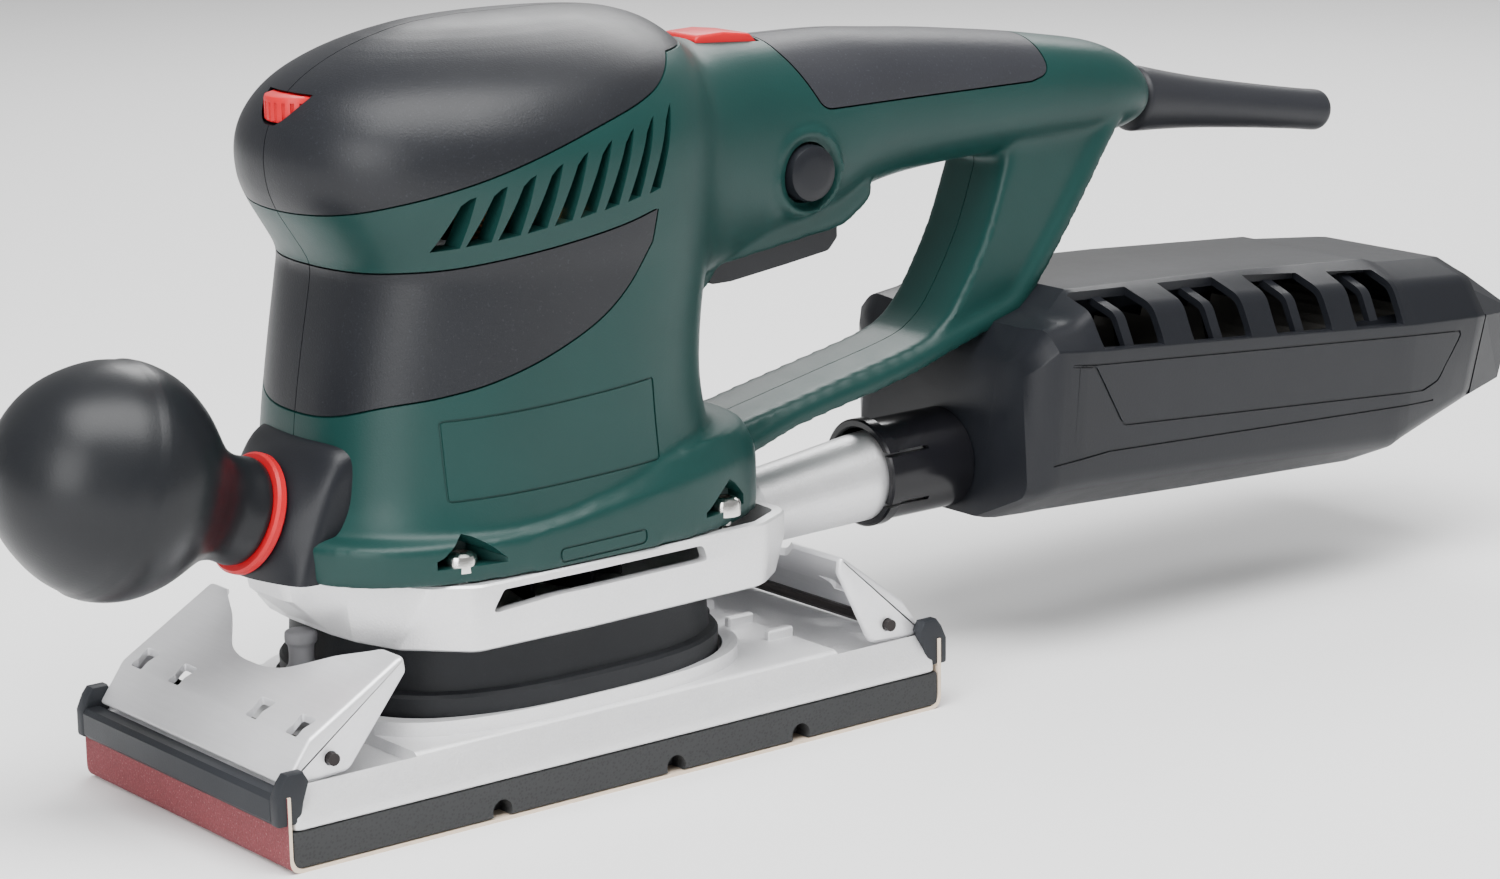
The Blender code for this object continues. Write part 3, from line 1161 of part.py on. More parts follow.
def box_section_at(x):
    """Return the dust box's section at any x between its ends, in millimetres."""
    for near, far in zip(BOX_SECTIONS, BOX_SECTIONS[1:]):
        if near[0] - 0.01 <= x <= far[0] + 0.01:
            t = (x - near[0]) / (far[0] - near[0])
            return tuple(a + (b - a) * t for a, b in zip(near, far))
    raise ValueError(f"x = {x} mm is off the dust box")


def stretch(section, x):
    """Return a section moved to another x."""
    return (x, *section[1:])


def tube_axis_z(x):
    """Return the height of the extraction tube's axis at x, in metres."""
    t = (x - TUBE_START.x) / (TUBE_END.x - TUBE_START.x)
    return TUBE_START.z + (TUBE_END.z - TUBE_START.z) * t


def dust_group():
    """Make the collar, the box, the filter's frame and the folded filter."""
    axis = (TUBE_END - TUBE_START).normalized()
    tube_radius = TUBE_PROFILE[-1][1] * MM
    inner = tube_radius + RUNNING_GAP
    start = Vector((COLLAR_X[0], 0, tube_axis_z(COLLAR_X[0])))
    length = COLLAR_X[1] - COLLAR_X[0] - MM
    profile = ((0, inner), (0, inner + COLLAR_WALL * 0.6), (MM, inner + COLLAR_WALL),
               (length, inner + COLLAR_WALL), (length, inner))
    piece("dust_collar", turned_ring(profile, start, axis, 28), "black_plastic")
    box = piece("dust_box", loft([box_ring(row, 0.0) for row in BOX_SECTIONS]),
                "black_plastic")
    first, last = BOX_SECTIONS[0], BOX_SECTIONS[-1]
    middle = [box_section_at(first[0] + BOX_WALL / MM), *BOX_SECTIONS[1:-1],
              stretch(last, last[0] + 1)]
    space = former("box_space", loft([box_ring(row, BOX_WALL) for row in middle]))
    mouth = former("box_mouth", turned(((-MM, tube_radius), (12 * MM, tube_radius)),
                                       (BOX_FRONT, 0, tube_axis_z(BOX_FRONT)), (1, 0, 0), 24))
    windows = []
    for index, (low, high) in enumerate(WINDOW_XS):
        for side in (-1, 1):
            ys = sorted(side * y for y in WINDOW_Y)
            windows.append(former(f"window_{index}_{side}", block(
                (low * MM, ys[0], WINDOW_Z[0]), (high * MM, ys[1], WINDOW_Z[1]))))
    mould(box, "DIFFERENCE", space, mouth, *windows)
    filter_cartridge()


def filter_cartridge():
    """Make the frame with the box's rear wall, and the folded filter in it."""
    clearance = (BOX_WALL + FRAME_CLEARANCE)
    last = BOX_SECTIONS[-1]
    rear = BOX_REAR / MM + GAP / MM
    wall_end = stretch(last, rear + END_WALL / MM)
    wall_end = (wall_end[0], wall_end[1] + 6, wall_end[2] + 2, wall_end[3] - 1,
                wall_end[4] - 3, wall_end[5] - 4, *(w - 3 for w in wall_end[6:]))
    frame = piece("filter_frame", loft([box_ring(stretch(last, rear), 0.0),
                                        box_ring(wall_end, 0.0)]), "black_plastic")
    start = CARTRIDGE_FRONT / MM
    inside = [stretch(last, start), stretch(last, rear + 2)]
    tray = former("tray_form", loft([box_ring(row, clearance) for row in inside]))
    low_z, high_z = FILTER_Z
    room_end = BOX_REAR - 6 * MM
    room = former("tray_room", block((CARTRIDGE_FRONT + FRAME_RAIL, -29 * MM, low_z - 40 * MM),
                                     (room_end, 29 * MM, high_z + 30 * MM)))
    combine(tray, "DIFFERENCE", room)
    combine(frame, "UNION", tray)
    filter_element((CARTRIDGE_FRONT + FRAME_RAIL + GAP, room_end - GAP), (low_z, high_z))


def filter_element(xs, zs):
    """Make the filter: paper folded to and fro across the cartridge."""
    top, bottom = [], []
    low, high = zs
    thickness = 1.2 * MM
    for i in range(FILTER_PLEATS * 2 + 1):
        x = xs[0] + thickness + (xs[1] - xs[0] - 2 * thickness) * i / (FILTER_PLEATS * 2)
        peak = i % 2 == 1
        top.append((x, high if peak else low + thickness * 2))
        bottom.append((x, high - thickness * 2 if peak else low))
    outline = top + list(reversed(bottom))
    piece("filter_element", prism(outline, -28.7 * MM, 28.7 * MM), "filter_paper")


# ---- assembly ----------------------------------------------------------------------------
def clear_scene():
    """Remove what the scene holds."""
    for obj in list(bpy.data.objects):
        bpy.data.objects.remove(obj, do_unlink=True)


def main():
    """Make every piece of the sander."""
    clear_scene()
    shells()
    screws()
    knob_group()
    controls()
    electrics()
    motor()
    lower_housing()
    extraction_tube()
    boot_and_legs()
    pad()
    clamp("front", -1, FRONT_HORN)
    clamp("rear", 1, REAR_HORN)
    dust_group()


main()
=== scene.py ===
"""Visual model of an orbital finishing sander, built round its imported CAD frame.

Each sub-assembly of the machine is a class that holds its sizes, builds its meshes and gives
them their finishes. Lengths are in metres unless a name says otherwise. +Z is up, +X points to
the dust box, and the origin is the centre of the sanding face.
"""

import logging
import math
from dataclasses import dataclass, field
from enum import Enum
from typing import Any, Callable, Iterable, Sequence

import bmesh
import bpy
from mathutils import Matrix, Vector

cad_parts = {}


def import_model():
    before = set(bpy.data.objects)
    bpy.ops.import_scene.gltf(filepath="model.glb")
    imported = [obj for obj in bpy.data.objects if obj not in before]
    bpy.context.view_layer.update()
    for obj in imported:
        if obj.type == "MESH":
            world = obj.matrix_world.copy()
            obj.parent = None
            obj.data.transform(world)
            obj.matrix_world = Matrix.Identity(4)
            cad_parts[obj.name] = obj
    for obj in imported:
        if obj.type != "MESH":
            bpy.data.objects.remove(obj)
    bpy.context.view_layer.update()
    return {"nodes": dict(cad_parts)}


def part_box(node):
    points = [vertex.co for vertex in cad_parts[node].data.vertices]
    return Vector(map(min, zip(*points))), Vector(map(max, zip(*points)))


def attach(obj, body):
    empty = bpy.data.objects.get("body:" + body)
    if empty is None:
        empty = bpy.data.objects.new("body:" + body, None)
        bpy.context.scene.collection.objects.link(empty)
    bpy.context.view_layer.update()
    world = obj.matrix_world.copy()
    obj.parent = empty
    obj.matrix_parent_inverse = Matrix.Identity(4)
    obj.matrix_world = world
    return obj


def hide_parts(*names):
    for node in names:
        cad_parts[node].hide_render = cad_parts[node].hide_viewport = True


log = logging.getLogger("sander")

MM = 0.001
SEAM = 0.3 * MM             # gap between two mouldings that meet
SMOOTH_ANGLE = math.radians(32)

Colour = tuple[float, float, float]
Pair = tuple[float, float]


class Cut(Enum):
    """The ways in which one solid changes another."""

    ADD = "UNION"
    TAKE = "DIFFERENCE"
    KEEP = "INTERSECT"


class Solver(Enum):
    """The Boolean solvers: one for loose polygons, one for closed shells only."""

    EXACT = "EXACT"
    CLOSED = "MANIFOLD"


class Side(Enum):
    """The left (-Y) and the right (+Y) side of the machine."""

    LEFT = -1
    RIGHT = 1


# ---- shader maths ------------------------------------------------------------------------
class Value:
    """A number that varies over a surface, as an output socket of a material's nodes."""

    def __init__(self, tree: "Tree", socket: bpy.types.NodeSocket) -> None:
        """Wrap an output socket."""
        self.tree = tree
        self.socket = socket

    def _math(self, operation: str, first: Any, second: Any) -> "Value":
        """Join two numbers by one Math node.

        Args:
            operation: the Math node's operation.
            first: a Value or a plain number.
            second: a Value or a plain number.

        Returns:
            The node's result.
        """
        node = self.tree.node("ShaderNodeMath", {"operation": operation}, {0: first, 1: second})
        return Value(self.tree, node.outputs[0])

    def __add__(self, other: Any) -> "Value":
        """Return self + other."""
        return self._math("ADD", self, other)

    def __radd__(self, other: Any) -> "Value":
        """Return other + self."""
        return self._math("ADD", other, self)

    def __sub__(self, other: Any) -> "Value":
        """Return self - other."""
        return self._math("SUBTRACT", self, other)

    def __rsub__(self, other: Any) -> "Value":
        """Return other - self."""
        return self._math("SUBTRACT", other, self)

    def __mul__(self, other: Any) -> "Value":
        """Return self * other."""
        return self._math("MULTIPLY", self, other)

    def __rmul__(self, other: Any) -> "Value":
        """Return other * self."""
        return self._math("MULTIPLY", other, self)

    def __pow__(self, other: Any) -> "Value":
        """Return self to the power of other."""
        return self._math("POWER", self, other)

    def __gt__(self, other: Any) -> "Value":
        """Return 1 where self is above other, else 0."""
        return self._math("GREATER_THAN", self, other)

    def between(self, low: float, high: float) -> "Value":
        """Return a ramp from 0 at low to 1 at high, held at both ends."""
        node = self.tree.node("ShaderNodeMapRange", {"clamp": True},
                              {"Value": self, "From Min": low, "From Max": high})
        return Value(self.tree, node.outputs[0])


class Tree:
    """The node tree of one material."""

    def __init__(self, name: str) -> None:
        """Make an empty Principled material with this name."""
        self.material = bpy.data.materials.new(name)
        self.material.use_nodes = True
        self.nodes = self.material.node_tree.nodes
        self.links = self.material.node_tree.links
        self.shader = self.nodes["Principled BSDF"]

    def node(self, kind: str, settings: dict[str, Any] | None = None,
             inputs: dict[Any, Any] | None = None) -> bpy.types.Node:
        """Make a node: its settings are set first, then its sockets are filled.

        Args:
            kind: the node's type.
            settings: attributes of the node; "stops" gives a colour ramp's stops.
            inputs: socket names or numbers, each with a Value, a socket or a constant.

        Returns:
            The new node.
        """
        node = self.nodes.new(kind)
        for name, setting in (settings or {}).items():
            if name == "stops":
                self._stops(node.color_ramp, setting)
            else:
                setattr(node, name, setting)
        for name, content in (inputs or {}).items():
            self.feed(node.inputs[name], content)
        return node

    @staticmethod
    def _stops(ramp: bpy.types.ColorRamp, stops: Sequence[tuple[float, Colour]]) -> None:
        """Give a colour ramp its stops."""
        while len(ramp.elements) < len(stops):
            ramp.elements.new(1.0)
        for element, (position, colour) in zip(ramp.elements, stops):
            element.position = position
            element.color = (*colour, 1.0)

    def feed(self, socket: bpy.types.NodeSocket, content: Any) -> None:
        """Link a socket to a Value or a socket, or set its constant."""
        if isinstance(content, Value):
            self.links.new(content.socket, socket)
        elif isinstance(content, bpy.types.NodeSocket):
            self.links.new(content, socket)
        elif isinstance(content, tuple) and len(content) == 3 and socket.type == "RGBA":
            socket.default_value = (*content, 1.0)
        else:
            socket.default_value = content

    def place(self, stretch: Sequence[float] = (1.0, 1.0, 1.0)) -> bpy.types.NodeSocket:
        """Return the piece's own coordinates, stretched along each axis."""
        coords = self.node("ShaderNodeTexCoord")
        mapping = self.node("ShaderNodeMapping", {}, {"Vector": coords.outputs["Object"],
                                                      "Scale": tuple(stretch)})
        return mapping.outputs["Vector"]

    def noise(self, size: float, detail: float = 2.0, rough: float = 0.5,
              stretch: Sequence[float] = (1.0, 1.0, 1.0)) -> Value:
        """Return soft noise whose blotches are about this many millimetres wide."""
        node = self.node("ShaderNodeTexNoise", {}, {
            "Vector": self.place(stretch), "Scale": 1.0 / (size * MM), "Detail": detail,
            "Roughness": rough})
        return Value(self, node.outputs["Fac"])

    def cells(self, size: float, feature: str = "F1") -> Value:
        """Return the distance to the nearest of scattered points this far apart, in mm."""
        node = self.node("ShaderNodeTexVoronoi", {"feature": feature}, {
            "Vector": self.place(), "Scale": 1.0 / (size * MM)})
        return Value(self, node.outputs["Distance"])

    def mix(self, factor: Any, first: Any, second: Any) -> bpy.types.NodeSocket:
        """Blend two colours."""
        node = self.node("ShaderNodeMix", {"data_type": "RGBA"}, {
            "Factor": factor, 6: first, 7: second})
        return node.outputs[2]

    def bump(self, height: Value, depth: float, strength: float = 1.0,
             below: bpy.types.NodeSocket | None = None) -> bpy.types.NodeSocket:
        """Return a normal that shows the height as relief of this depth in millimetres."""
        inputs: dict[Any, Any] = {"Height": height, "Distance": depth * MM,
                                  "Strength": strength}
        if below is not None:
            inputs["Normal"] = below
        return self.node("ShaderNodeBump", {}, inputs).outputs["Normal"]

    def dress(self, **sockets: Any) -> bpy.types.Material:
        """Fill the shader's sockets, named with _ for a space, and return the material."""
        for name, content in sockets.items():
            self.feed(self.shader.inputs[name.replace("_", " ").title()
                                         .replace("Ior", "IOR")], content)
        return self.material


# ---- finishes ----------------------------------------------------------------------------
@dataclass(frozen=True)
class Finish:
    """A finish: its name, the name of its material slot and its base colour."""

    name: str
    slot: str
    colour: Colour

    def material(self) -> bpy.types.Material:
        """Return the finish's material, made on first use."""
        found = bpy.data.materials.get("finish_" + self.name)
        return found or self.make(Tree("finish_" + self.name))

    def make(self, tree: Tree) -> bpy.types.Material:
        """Build the material's nodes."""
        return tree.dress(base_color=self.colour)

    def shade(self, factor: float) -> Colour:
        """Return the colour made lighter or darker."""
        return tuple(min(channel * factor, 1.0) for channel in self.colour)


@dataclass(frozen=True)
class Moulding(Finish):
    """Moulded plastic or rubber: a fine spark-eroded texture over slow colour changes."""

    roughness: float = 0.4
    grain: float = 0.45         # mm
    relief: float = 0.03        # mm
    specks: float = 0.0         # how strongly pale specks show

    def make(self, tree: Tree) -> bpy.types.Material:
        """Build the material's nodes."""
        grain = tree.noise(self.grain, 2.0, 0.6)
        cloud = tree.noise(28.0, 3.0)
        base = tree.mix(cloud, self.shade(0.86), self.shade(1.14))
        if self.specks:
            speck = tree.noise(0.55, 1.0, 0.4).between(0.64, 0.78)
            base = tree.mix(speck * self.specks, base, self.shade(5.0))
        rub = tree.noise(9.0, 4.0, 0.6)
        rough = (self.roughness - 0.05) + rub * 0.1 + grain * 0.04
        return tree.dress(base_color=base, roughness=rough, specular_ior_level=0.28,
                          normal=tree.bump(grain, self.relief))


@dataclass(frozen=True)
class Casting(Finish):
    """Shot-blasted die casting with bright metal grains."""

    roughness: float = 0.38
    metallic: float = 0.85

    def make(self, tree: Tree) -> bpy.types.Material:
        """Build the material's nodes."""
        grain = tree.noise(0.5, 3.0, 0.7)
        flake = tree.cells(0.7).between(0.1, 0.7)
        cloud = tree.noise(20.0, 3.0)
        base = tree.mix(grain * 0.6 + cloud * 0.4, self.shade(0.84), self.shade(1.12))
        rough = (self.roughness - 0.08) + flake * 0.14 + cloud * 0.04
        return tree.dress(base_color=base, metallic=self.metallic, roughness=rough,
                          normal=tree.bump(grain + flake * 0.4, 0.05))


@dataclass(frozen=True)
class Sheet(Finish):
    """Rolled and plated steel sheet with faint streaks."""

    roughness: float = 0.3
    metallic: float = 0.5
    grain_along: tuple[float, float, float] = (1.0, 0.06, 1.0)

    def make(self, tree: Tree) -> bpy.types.Material:
        """Build the material's nodes."""
        streak = tree.noise(0.7, 4.0, 0.6, self.grain_along)
        cloud = tree.noise(14.0, 3.0)
        scuff = tree.noise(2.2, 5.0, 0.7).between(0.56, 0.7)
        base = tree.mix(streak * 0.5 + cloud * 0.5, self.shade(0.86), self.shade(1.1))
        rough = (self.roughness - 0.08) + cloud * 0.1 + scuff * 0.12
        return tree.dress(base_color=base, metallic=self.metallic, roughness=rough,
                          normal=tree.bump(streak, 0.012))


@dataclass(frozen=True)
class Turned(Finish):
    """Turned or drawn metal with fine tool marks."""

    roughness: float = 0.25
    metallic: float = 1.0

    def make(self, tree: Tree) -> bpy.types.Material:
        """Build the material's nodes."""
        mark = tree.noise(0.3, 2.0, 0.5, (0.25, 0.25, 3.0))
        cloud = tree.noise(5.0, 3.0)
        base = tree.mix(cloud, self.shade(0.8), self.shade(1.1))
        rough = (self.roughness - 0.05) + mark * 0.12
        return tree.dress(base_color=base, metallic=self.metallic, roughness=rough,
                          normal=tree.bump(mark, 0.01))


@dataclass(frozen=True)
class Grit(Finish):
    """Abrasive grains bonded on paper."""

    def make(self, tree: Tree) -> bpy.types.Material:
        """Build the material's nodes."""
        grain = tree.cells(0.55).between(0.0, 0.8)
        fine = tree.noise(0.35, 2.0, 0.7)
        cloud = tree.noise(7.0, 3.0)
        spark = tree.noise(0.5, 1.0, 0.3).between(0.62, 0.76)
        base = tree.mix(fine * 0.6 + grain * 0.25 + cloud * 0.15, self.shade(0.45),
                        self.shade(1.7))
        base = tree.mix(spark * 0.4, base, (0.5, 0.26, 0.26))
        return tree.dress(base_color=base, roughness=0.85,
                          normal=tree.bump(fine + grain, 0.14))


@dataclass(frozen=True)
class Paper(Finish):
    """Paper or felt with loose fibres."""

    fibre: float = 0.9

    def make(self, tree: Tree) -> bpy.types.Material:
        """Build the material's nodes."""
        fibre = tree.noise(self.fibre, 4.0, 0.7, (1.0, 0.3, 1.0))
        cloud = tree.noise(11.0, 2.0)
        base = tree.mix(fibre * 0.5 + cloud * 0.5, self.shade(0.8), self.shade(1.12))
        return tree.dress(base_color=base, roughness=0.9, normal=tree.bump(fibre, 0.05))


@dataclass(frozen=True)
class Foam(Finish):
    """Closed-cell foam rubber with open pores at the cut faces."""

    def make(self, tree: Tree) -> bpy.types.Material:
        """Build the material's nodes."""
        pore = tree.cells(0.8).between(0.05, 0.5)
        cloud = tree.noise(6.0, 3.0)
        base = tree.mix(pore * 0.7 + cloud * 0.3, self.shade(0.55), self.shade(1.3))
        return tree.dress(base_color=base, roughness=0.72 + cloud * 0.1,
                          normal=tree.bump(pore, 0.05))


@dataclass(frozen=True)
class Stack(Finish):
    """Punched laminations or wound wire: fine layers across one axis."""

    layer: float = 0.5          # mm
    metallic: float = 0.9
    roughness: float = 0.45

    def make(self, tree: Tree) -> bpy.types.Material:
        """Build the material's nodes."""
        wave = tree.node("ShaderNodeTexWave", {"wave_type": "BANDS", "bands_direction": "Z"},
                         {"Vector": tree.place(), "Scale": 0.16 / (self.layer * MM)})
        layer = Value(tree, wave.outputs["Fac"])
        cloud = tree.noise(4.0, 3.0)
        base = tree.mix(layer * 0.6 + cloud * 0.4, self.shade(0.45), self.shade(1.15))
        return tree.dress(base_color=base, metallic=self.metallic,
                          roughness=self.roughness + cloud * 0.1, normal=tree.bump(layer, 0.08))


GREEN = Moulding("green_plastic", "green_plastic", (0.006, 0.036, 0.032), 0.38, 0.5, 0.035)
GRIP = Moulding("soft_grip", "soft_grip", (0.012, 0.013, 0.016), 0.36, 0.5, 0.04, 0.2)
# The same soft grip moulding as GRIP with twice its base colour: the paler colour is painted sheen
# for the light that the handle's grip catches, and its higher roughness is real
HANDLE_GRIP_PAINTED_SHEEN = Moulding("handle_grip", "soft_grip", (0.024, 0.025, 0.030), 0.44, 0.5, 0.06, 0.16)
BLACK = Moulding("black_plastic", "black_plastic", (0.009, 0.010, 0.013), 0.36, 0.5, 0.03, 0.05)
GLOSS_BLACK = Moulding("gloss_black", "black_plastic", (0.008, 0.008, 0.01), 0.16, 2.0, 0.006)
KNOB_BLACK = Moulding("satin_knob", "satin_knob", (0.010, 0.011, 0.013), 0.34, 0.5, 0.025, 0.06)
JAW_BLACK = Moulding("jaw_black", "black_plastic", (0.018, 0.020, 0.024), 0.5, 0.5, 0.03)
RED = Moulding("red_plastic", "red_plastic", (0.56, 0.008, 0.016), 0.36, 0.8, 0.015)
RUBBER = Moulding("black_rubber", "black_rubber", (0.010, 0.011, 0.013), 0.55, 0.6, 0.05, 0.06)
SLEEVE = Moulding("sleeve_rubber", "black_rubber", (0.02, 0.021, 0.025), 0.42, 0.5, 0.03, 0.1)
POST = Moulding("grey_rubber", "grey_rubber", (0.2, 0.2, 0.21), 0.5, 0.7, 0.03)
ALLOY = Casting("cast_alloy", "cast_alloy", (0.83, 0.83, 0.84), 0.36, 0.6)
PLATE_ALLOY = Casting("plate_alloy", "cast_alloy", (0.86, 0.86, 0.87), 0.42, 0.5)
PRESSED = Sheet("pressed_steel", "pressed_steel", (0.82, 0.82, 0.84), 0.4)
DARK_STEEL = Turned("dark_steel", "dark_steel", (0.035, 0.03, 0.03), 0.4, 0.8)
BRIGHT_STEEL = Turned("bright_steel", "bright_steel", (0.78, 0.77, 0.74), 0.16)
COPPER = Stack("copper", "copper", (0.75, 0.33, 0.15), 0.7, 1.0, 0.3)
LAMINATED = Stack("laminated_steel", "laminated_steel", (0.36, 0.36, 0.37), 0.5)
BRASS = Turned("brass", "brass", (0.74, 0.54, 0.22), 0.3)
GRIT = Grit("abrasive", "abrasive", (0.17, 0.036, 0.042))
BACKING = Paper("paper_backing", "abrasive", (0.78, 0.64, 0.5))
FILTER = Paper("filter_paper", "filter_paper", (0.07, 0.068, 0.062))
FOAM = Foam("foam", "foam", (0.022, 0.023, 0.024))


# ---- curves ------------------------------------------------------------------------------
def through(points: Sequence[Sequence[float]], steps: int, closed: bool = False) -> list[Vector]:
    """Return a smooth curve through points.

    Args:
        points: the points, of any dimension.
        steps: how many pieces each span is cut into.
        closed: whether the last point joins the first.

    Returns:
        The curve's points; an open curve ends on the last given point.
    """
    spots = [Vector(point) for point in points]
    count = len(spots)
    spans = count if closed else count - 1
    curve = []
    for i in range(spans):
        if closed:
            a, b, c, d = (spots[(i + k - 1) % count] for k in range(4))
        else:
            a, b = spots[max(i - 1, 0)], spots[i]
            c, d = spots[i + 1], spots[min(i + 2, count - 1)]
        for step in range(steps):
            t = step / steps
            curve.append(0.5 * ((2 * b) + (c - a) * t + (2 * a - 5 * b + 4 * c - d) * t ** 2
                                + (3 * b - a - 3 * c + d) * t ** 3))
    if not closed:
        curve.append(spots[-1])
    return curve


def table_at(table: Sequence[Sequence[float]], key: float) -> list[float]:
    """Return a table's smooth values at a key, which is each row's first number."""
    last = len(table) - 1
    index = next((i for i in range(last) if key <= table[i + 1][0]), last - 1)
    a, b = table[max(index - 1, 0)], table[index]
    c, d = table[index + 1], table[min(index + 2, last)]
    t = (key - b[0]) / (c[0] - b[0])
    span = c[0] - b[0]
    values = []
    for k in range(1, len(b)):
        before = (c[k] - a[k]) / max(c[0] - a[0], 1e-9) * span
        after = (d[k] - b[k]) / max(d[0] - b[0], 1e-9) * span
        values.append((2 * t ** 3 - 3 * t ** 2 + 1) * b[k] + (t ** 3 - 2 * t ** 2 + t) * before
                      + (3 * t ** 2 - 2 * t ** 3) * c[k] + (t ** 3 - t ** 2) * after)
    return values


def superellipse(half_a: float, half_b: float, power: float, count: int) -> list[Pair]:
    """Return a superellipse about the origin as points."""
    exponent = 2 / power
    points = []
    for i in range(count):
        angle = math.tau * (i + 0.5) / count
        c, s = math.cos(angle), math.sin(angle)
        points.append((math.copysign(abs(c) ** exponent, c) * half_a,
                       math.copysign(abs(s) ** exponent, s) * half_b))
    return points


def rounded(corners: Sequence[Sequence[float]], steps: int = 5) -> list[Vector]:
    """Round a polygon's corners.

    Args:
        corners: (x, y, radius) of each corner, in order.
        steps: segments in each corner's arc.

    Returns:
        The outline, with one point at a sharp corner and steps + 1 at any other.
    """
    outline = []
    count = len(corners)
    for i, (x, y, radius) in enumerate(corners):
        here = Vector((x, y))
        if not radius:
            outline.append(here)
            continue
        before = Vector(corners[i - 1][:2]) - here
        after = Vector(corners[(i + 1) % count][:2]) - here
        half = before.angle(after, math.pi) / 2
        back = min(radius / max(math.tan(half), 1e-6), before.length * 0.48,
                   after.length * 0.48)
        start, end = here + before.normalized() * back, here + after.normalized() * back
        for step in range(steps + 1):
            t = step / steps
            outline.append(start * (1 - t) ** 2 + here * 2 * t * (1 - t) + end * t ** 2)
    return outline


def offset_outline(outline: Sequence[Sequence[float]], distance: float) -> list[Vector]:
    """Push a closed outline outwards by a distance, or inwards if it is negative."""
    spots = [Vector(point[:2]) for point in outline]
    count = len(spots)
    area = sum(spots[i - 1].x * spots[i].y - spots[i].x * spots[i - 1].y for i in range(count))
    turn = 1.0 if area > 0 else -1.0
    moved = []
    for i in range(count):
        along = (spots[(i + 1) % count] - spots[i - 1]).normalized()
        moved.append(spots[i] + Vector((along.y, -along.x)) * turn * distance)
    return moved


# ---- mesh building -----------------------------------------------------------------------
def ring_edges(bm: bmesh.types.BMesh, points: Iterable[Sequence[float]]) -> list[Any]:
    """Add a closed ring of edges through points and return its edges."""
    points = list(points)
    made = bmesh.ops.create_circle(bm, cap_ends=False, radius=1.0, segments=len(points))
    for vert, point in zip(made["verts"], points):
        vert.co = point
    return list({edge for vert in made["verts"] for edge in vert.link_edges})


def loft(rings: Sequence[Sequence[Sequence[float]]], capped: bool = True) -> bmesh.types.BMesh:
    """Stretch a skin over rings of points.

    Args:
        rings: rings that have the same number of points in the same order.
        capped: whether the first and the last ring are closed.

    Returns:
        The new mesh.
    """
    bm = bmesh.new()
    loops = [ring_edges(bm, points) for points in rings]
    for low, high in zip(loops, loops[1:]):
        bmesh.ops.bridge_loops(bm, edges=low + high)
    if capped:
        for loop in (loops[0], loops[-1]):
            bmesh.ops.contextual_create(bm, geom=loop)
    bmesh.ops.recalc_face_normals(bm, faces=bm.faces)
    return bm


def slab(outline: Sequence[Sequence[float]], low: float, high: float,
         across: str = "Y") -> bmesh.types.BMesh:
    """Extrude a flat outline.

    Args:
        outline: (x, z) points for Y, (x, y) points for Z or (y, z) points for X.
        low: where the extrusion starts along its axis.
        high: where it ends.
        across: the axis of the extrusion.

    Returns:
        The new closed mesh.
    """
    def at(point: Sequence[float], level: float) -> Vector:
        """Return a point of the outline at a level."""
        a, b = point[0], point[1]
        return Vector({"Y": (a, level, b), "Z": (a, b, level), "X": (level, a, b)}[across])

    return loft([[at(point, low) for point in outline], [at(point, high) for point in outline]])


def block(low: Sequence[float], high: Sequence[float]) -> bmesh.types.BMesh:
    """Return a box between two corners."""
    bm = bmesh.new()
    bmesh.ops.create_cube(bm, size=1.0)
    low, high = Vector(low), Vector(high)
    bmesh.ops.scale(bm, vec=high - low, verts=bm.verts)
    bmesh.ops.translate(bm, vec=(low + high) / 2, verts=bm.verts)
    return bm


def turned(profile: Sequence[Pair], start: Sequence[float], direction: Sequence[float],
           steps: int = 64, closed: bool = False) -> bmesh.types.BMesh:
    """Spin a profile round an axis.

    Args:
        profile: (distance along the axis, radius) points.
        start: the axis's start.
        direction: the axis's direction.
        steps: steps of the full turn.
        closed: whether the profile is a closed loop, for a ring.

    Returns:
        The new closed mesh.
    """
    start, direction = Vector(start), Vector(direction).normalized()
    side = direction.orthogonal().normalized()
    bm = bmesh.new()
    path = list(profile) if closed else [(profile[0][0], 0.0), *profile, (profile[-1][0], 0.0)]
    verts = [bm.verts.new(start + direction * along + side * out) for along, out in path]
    edges = [bm.edges.new(pair) for pair in zip(verts, verts[1:])]
    if closed:
        edges.append(bm.edges.new((verts[-1], verts[0])))
    bmesh.ops.spin(bm, geom=verts + edges, cent=start, axis=direction, angle=math.tau,
                   steps=steps, use_merge=True)
    bmesh.ops.remove_doubles(bm, verts=bm.verts, dist=1e-6)
    bmesh.ops.recalc_face_normals(bm, faces=bm.faces)
    return bm


def soften(bm: bmesh.types.BMesh, width: float, segments: int = 2,
           sharper: float = 30.0, chosen: Callable[[Any], bool] | None = None) -> bmesh.types.BMesh:
    """Round the edges of a mesh that are sharper than an angle.

    Args:
        bm: the mesh, which is changed.
        width: the bevel's width.
        segments: its segments.
        sharper: the least angle in degrees between an edge's two faces.
        chosen: a further test that an edge must pass.

    Returns:
        The same mesh.
    """
    limit = math.radians(sharper)
    edges = [edge for edge in bm.edges
             if len(edge.link_faces) == 2 and edge.calc_face_angle(0.0) > limit
             and (chosen is None or chosen(edge))]
    bmesh.ops.bevel(bm, geom=edges, offset=width, segments=segments, profile=0.5,
                    affect="EDGES", material=-1, clamp_overlap=True)
    return bm


def solid(name: str, bm: bmesh.types.BMesh) -> bpy.types.Object:
    """Put a mesh in the scene as an object at the origin."""
    mesh = bpy.data.meshes.new(name)
    bm.to_mesh(mesh)
    bm.free()
    obj = bpy.data.objects.new(name, mesh)
    bpy.context.scene.collection.objects.link(obj)
    return obj


def joined(name: str, *parts: bmesh.types.BMesh) -> bpy.types.Object:
    """Put several meshes in the scene as one object."""
    whole = bmesh.new()
    for part in parts:
        mesh = bpy.data.meshes.new("part")
        part.to_mesh(mesh)
        part.free()
        whole.from_mesh(mesh)
        bpy.data.meshes.remove(mesh)
    return solid(name, whole)


